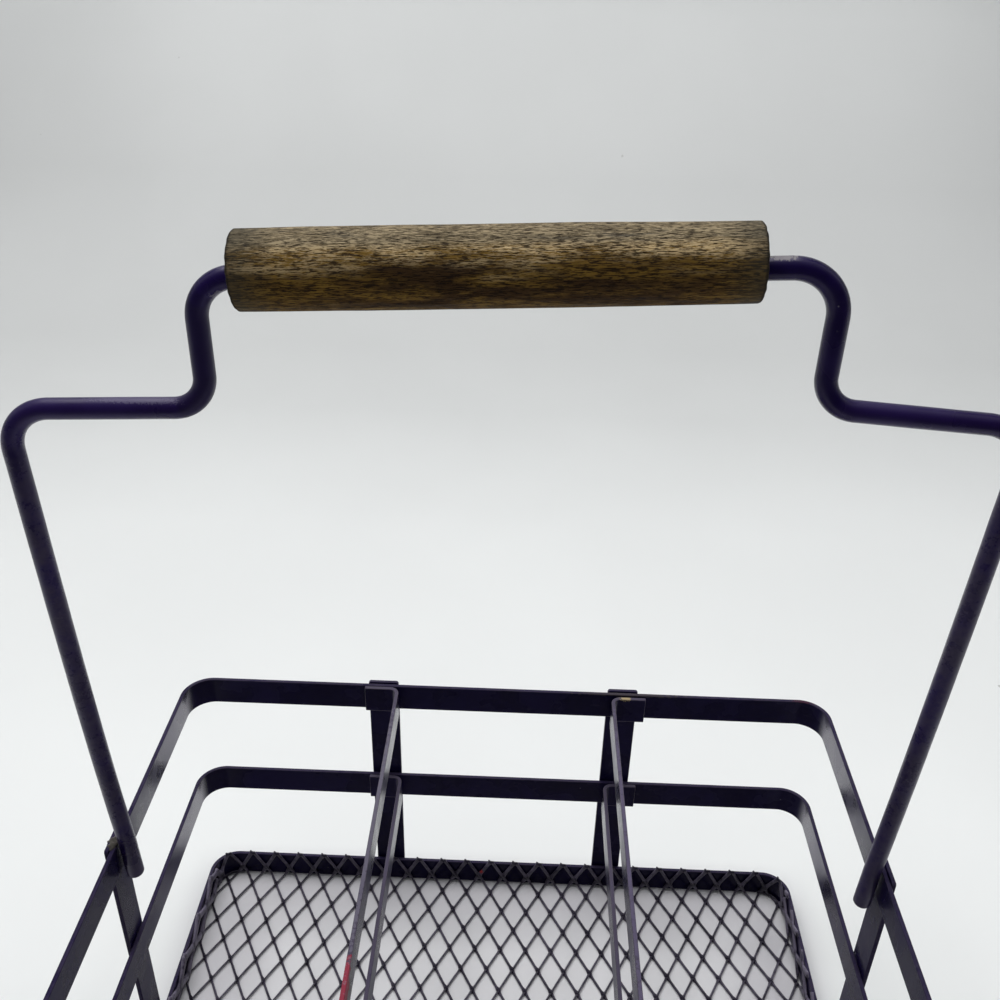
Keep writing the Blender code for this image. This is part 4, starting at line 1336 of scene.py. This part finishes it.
@dataclass
class Studio:
    """The plain pale table, its backdrop, the soft light and the camera.

    Attributes:
        eye: Place of the camera.
        right: Camera's right.
        down: Camera's down.
        ahead: Camera's view direction.
        focal_pixels: Focal length in pixels of a frame of 1000 by 1000.
        bend_start: Y at which the table starts to turn up.
        bend_radius: Radius of that curve.
        tones: Distance back along the table and up the backdrop, and the white there, a painted shade that is
            darkest where the table turns up.
        tone_span: First and last such distance of the colour ramp.
        shade: Painted shadow tint of the table under the tray.
        side_shade: Further painted shadow tint beside the middle, from the tray's walls.
        speck: Colour of the specks on the table.
        dark_room: Colour of the room that the paint mirrors in front of the caddy.
        lamp_size: Sides of the lamp.
        lamp_power: Its power in watts.
        lamp_place: Its middle.
        lamp_tilt: Its turns about X and Y in degrees.
    """

    eye: Point = (0.00256, -0.24808, 0.40004)
    right: Point = (0.99924, 0.03241, 0.02154)
    down: Point = (0.03486, -0.49956, -0.86558)
    ahead: Point = (-0.0173, 0.86568, -0.50031)
    focal_pixels: float = 1038.88
    bend_start: float = 0.62
    bend_radius: float = 0.5
    tones: tuple[Pair, ...] = ((0.12, 0.83), (0.40, 0.75), (0.60, 0.625), (0.74, 0.603),
                               (1.08, 0.655), (1.36, 0.83))
    tone_span: Pair = (-0.3, 1.5)
    shade: Point = (0.84, 0.82, 0.845)
    side_shade: Point = (0.78, 0.77, 0.79)
    speck: Point = (0.32, 0.32, 0.30)
    dark_room: Point = (0.03, 0.03, 0.03)
    lamp_size: Pair = (1.6, 1.2)
    lamp_power: float = 24.0
    lamp_place: Point = (-0.25, 0.45, 1.75)
    lamp_tilt: Pair = (-14.0, -8.0)

    def camera(self) -> None:
        """Place the camera at the photograph's angle."""
        data = bpy.data.cameras.new("photo_view")
        data.sensor_width = 36.0
        data.lens = self.focal_pixels / 1000.0 * data.sensor_width
        data.clip_start = 0.01
        camera = bpy.data.objects.new("photo_view", data)
        placed_at = np.eye(4)
        placed_at[:3] = np.column_stack([self.right, -np.array(self.down), -np.array(self.ahead), self.eye])
        camera.matrix_world = Matrix(placed_at.tolist())
        bpy.context.scene.collection.objects.link(camera)
        bpy.context.scene.camera = camera

    def backdrop(self) -> None:
        """Build the table top and the wall behind it: one sheet that turns up in a wide curve."""
        start, bend = self.bend_start, self.bend_radius
        quarter = np.linspace(0.0, np.pi / 2, 17)[1:]
        level_y = [-4.0, -1.5, -0.5, 0.0, 0.3, start]
        y = np.concatenate([level_y, start + bend * np.sin(quarter), [start + bend] * 2])
        z = np.concatenate([np.zeros(len(level_y)), bend * (1.0 - np.cos(quarter)), [1.5, 4.0]]) - 0.0002
        x = np.linspace(-4.0, 4.0, 9)
        points = np.stack(np.broadcast_arrays(x[None], y[:, None], z[:, None]), axis=-1)
        n = len(x)
        corner = (np.arange(len(y) - 1)[:, None] * n + np.arange(n - 1)).ravel()
        quads = np.stack([corner, corner + 1, corner + n + 1, corner + n], axis=-1)
        mesh = bpy.data.meshes.new("table")
        mesh.from_pydata(points.reshape(-1, 3).tolist(), [], quads.tolist())
        show(mesh, self.table_material())

    def table_material(self) -> bpy.types.Material:
        """Build the table's white, with painted shade that darkens it to the back and at the far corners and
        lightens it to the right, a painted shadow under the tray, and soft clouds and specks.

        Mirrored in the paint it ends in front of the caddy, where the dark room starts.

        Returns:
            The material.
        """
        material, sheet, shader, place = new_material("pale_table")
        x, y, z = sheet.split(place)
        wide, deep, back = abs(x), abs(y), y + z
        first, last = self.tone_span
        # Painted shade: the white falls off towards the back and is darkest where the table turns up into the
        # wall.
        stops = [((at - first) / (last - first), tuple(tone * tint for tint in (0.99, 1.005, 1.0)))
                 for at, tone in self.tones]
        colour = sheet.ramp((back - first) / (last - first), stops)
        # Painted light falloff: the table is lighter to the right and darker at the far back corners.
        corner = sheet.spread(wide, 0.30, 0.65) * sheet.spread(back, 0.75, 1.25)
        cloud = sheet.spread(sheet.noise(place, 5.0), 0.3, 0.7, 0.985, 1.015)
        level = (x * 0.04 + 1.0) * cloud * sheet.spread(corner, 0.0, 1.0, 1.0, 0.90)
        # Painted shadow of the tray on the table under it, deeper towards its walls.
        under = sheet.spread(wide, 0.150, 0.120) * sheet.spread(deep, 0.105, 0.075)
        beside = sheet.spread(wide, 0.085, 0.128).combine("MAXIMUM", sheet.spread(deep, 0.045, 0.084))
        for share, shade in ((1.0, sheet.value("ShaderNodeCombineColor", {0: level, 1: level, 2: level})),
                             (under, self.shade), (under * beside, self.side_shade)):
            colour = sheet.mix(share, colour, shade, "MULTIPLY")
        wander = sheet.value("ShaderNodeTexNoise", {"Vector": place, "Scale": 90.0}, "Color")
        warped = sheet.vector("ADD", place, sheet.stretch(wander, (0.010, 0.010, 0.010)))
        specks = sheet.add("ShaderNodeTexVoronoi", {"Vector": warped, "Scale": 16.0}).outputs
        tone, chance, _ = sheet.add("ShaderNodeSeparateColor", {0: Value(specks["Color"])}).outputs
        size = sheet.spread(Value(tone), 0.0, 1.0, 0.010, 0.034)
        rare = sheet.spread(Value(chance), 0.35, 1.0, 0.0, 0.50)
        dots = Value(specks["Distance"]).combine("LESS_THAN", size) * rare
        colour = sheet.mix(dots, colour, self.speck)
        mirrored = sheet.value("ShaderNodeLightPath", output="Is Glossy Ray")
        colour = sheet.mix(mirrored * sheet.spread(y, -0.34, -0.50), colour, self.dark_room)
        sheet.feed(shader, {"Base Color": colour, "Roughness": 0.6, "Specular IOR Level": 0.2})
        return material

    def light(self) -> None:
        """Light the scene with a soft sky, brighter above and behind, and one large soft lamp."""
        world = bpy.data.worlds.new("soft_room")
        bpy.context.scene.world = world
        world.use_nodes = True
        sheet = NodeSheet(world.node_tree)
        _, y, z = sheet.split(sheet.value("ShaderNodeTexCoord", output="Generated"))
        strength = sheet.spread(y * 0.75 + z * 0.60, -0.30, 0.80, 0.03, 1.07)
        sky = {"Color": (0.97, 0.985, 1.0, 1.0), "Strength": strength}
        sheet.feed(world.node_tree.nodes["Background"], sky)
        lamp_data = bpy.data.lights.new("ceiling_softbox", "AREA")
        lamp_data.shape = "RECTANGLE"
        lamp_data.size, lamp_data.size_y = self.lamp_size
        lamp_data.energy = self.lamp_power
        lamp = bpy.data.objects.new("ceiling_softbox", lamp_data)
        lamp.location = self.lamp_place
        lamp.rotation_euler = (*map(math.radians, self.lamp_tilt), 0.0)
        bpy.context.scene.collection.objects.link(lamp)

    def build(self) -> None:
        """Build the whole studio."""
        self.camera()
        self.backdrop()
        self.light()
        bpy.context.scene.view_settings.view_transform = "Standard"


def main() -> None:
    """Build the caddy's pieces in order, then the studio."""
    logging.basicConfig(level=logging.INFO, format="%(name)s %(message)s")
    for build_group in (paint_skin_group, edge_wear_group, worn_patch_group):
        build_group()
    strap_paint = PaintFinish()
    rubbed_paint = replace(strap_paint, thin=(0.115, 0.100, 0.135), wear=0.70, edge_gloss=1.2)
    mesh_paint = PaintFinish(base=(0.0110, 0.0090, 0.0200), thin=(0.17, 0.150, 0.210), roughness=0.34,
                             gloss=0.30, edge_gloss=0.90, turn=(0.10, 0.60), front=1.0, wear=0.50)
    wire_paint = PaintFinish(base=(0.0130, 0.0062, 0.0600), roughness=0.20, gloss=0.17, edge_gloss=0.42,
                             turn=(0.10, 0.75), front=1.0, wear=0.50, peel=0.18)
    burnt_paint = PaintFinish(base=(0.050, 0.045, 0.040), thin=(0.13, 0.12, 0.10), roughness=0.45, front=1.0,
                              wear=0.45, peel=0.6)
    bead = WeldBead("left_leg", (-0.1327, -0.0052, 0.1160), (-0.1325, 0.0016, 0.1160), (0.0018, 0.0009), 3)
    pieces = [*StrapFrame(strap_paint, rubbed_paint).build(), ExpandedTray(mesh_paint).build(),
              HandleBail(wire_paint).build(), bead.build(burnt_paint), WoodGrip().build()]
    for piece in pieces:
        LOG.info("%s: %d faces", piece.name, len(piece.data.polygons))
    Studio().build()


if __name__ == "__main__":
    main()
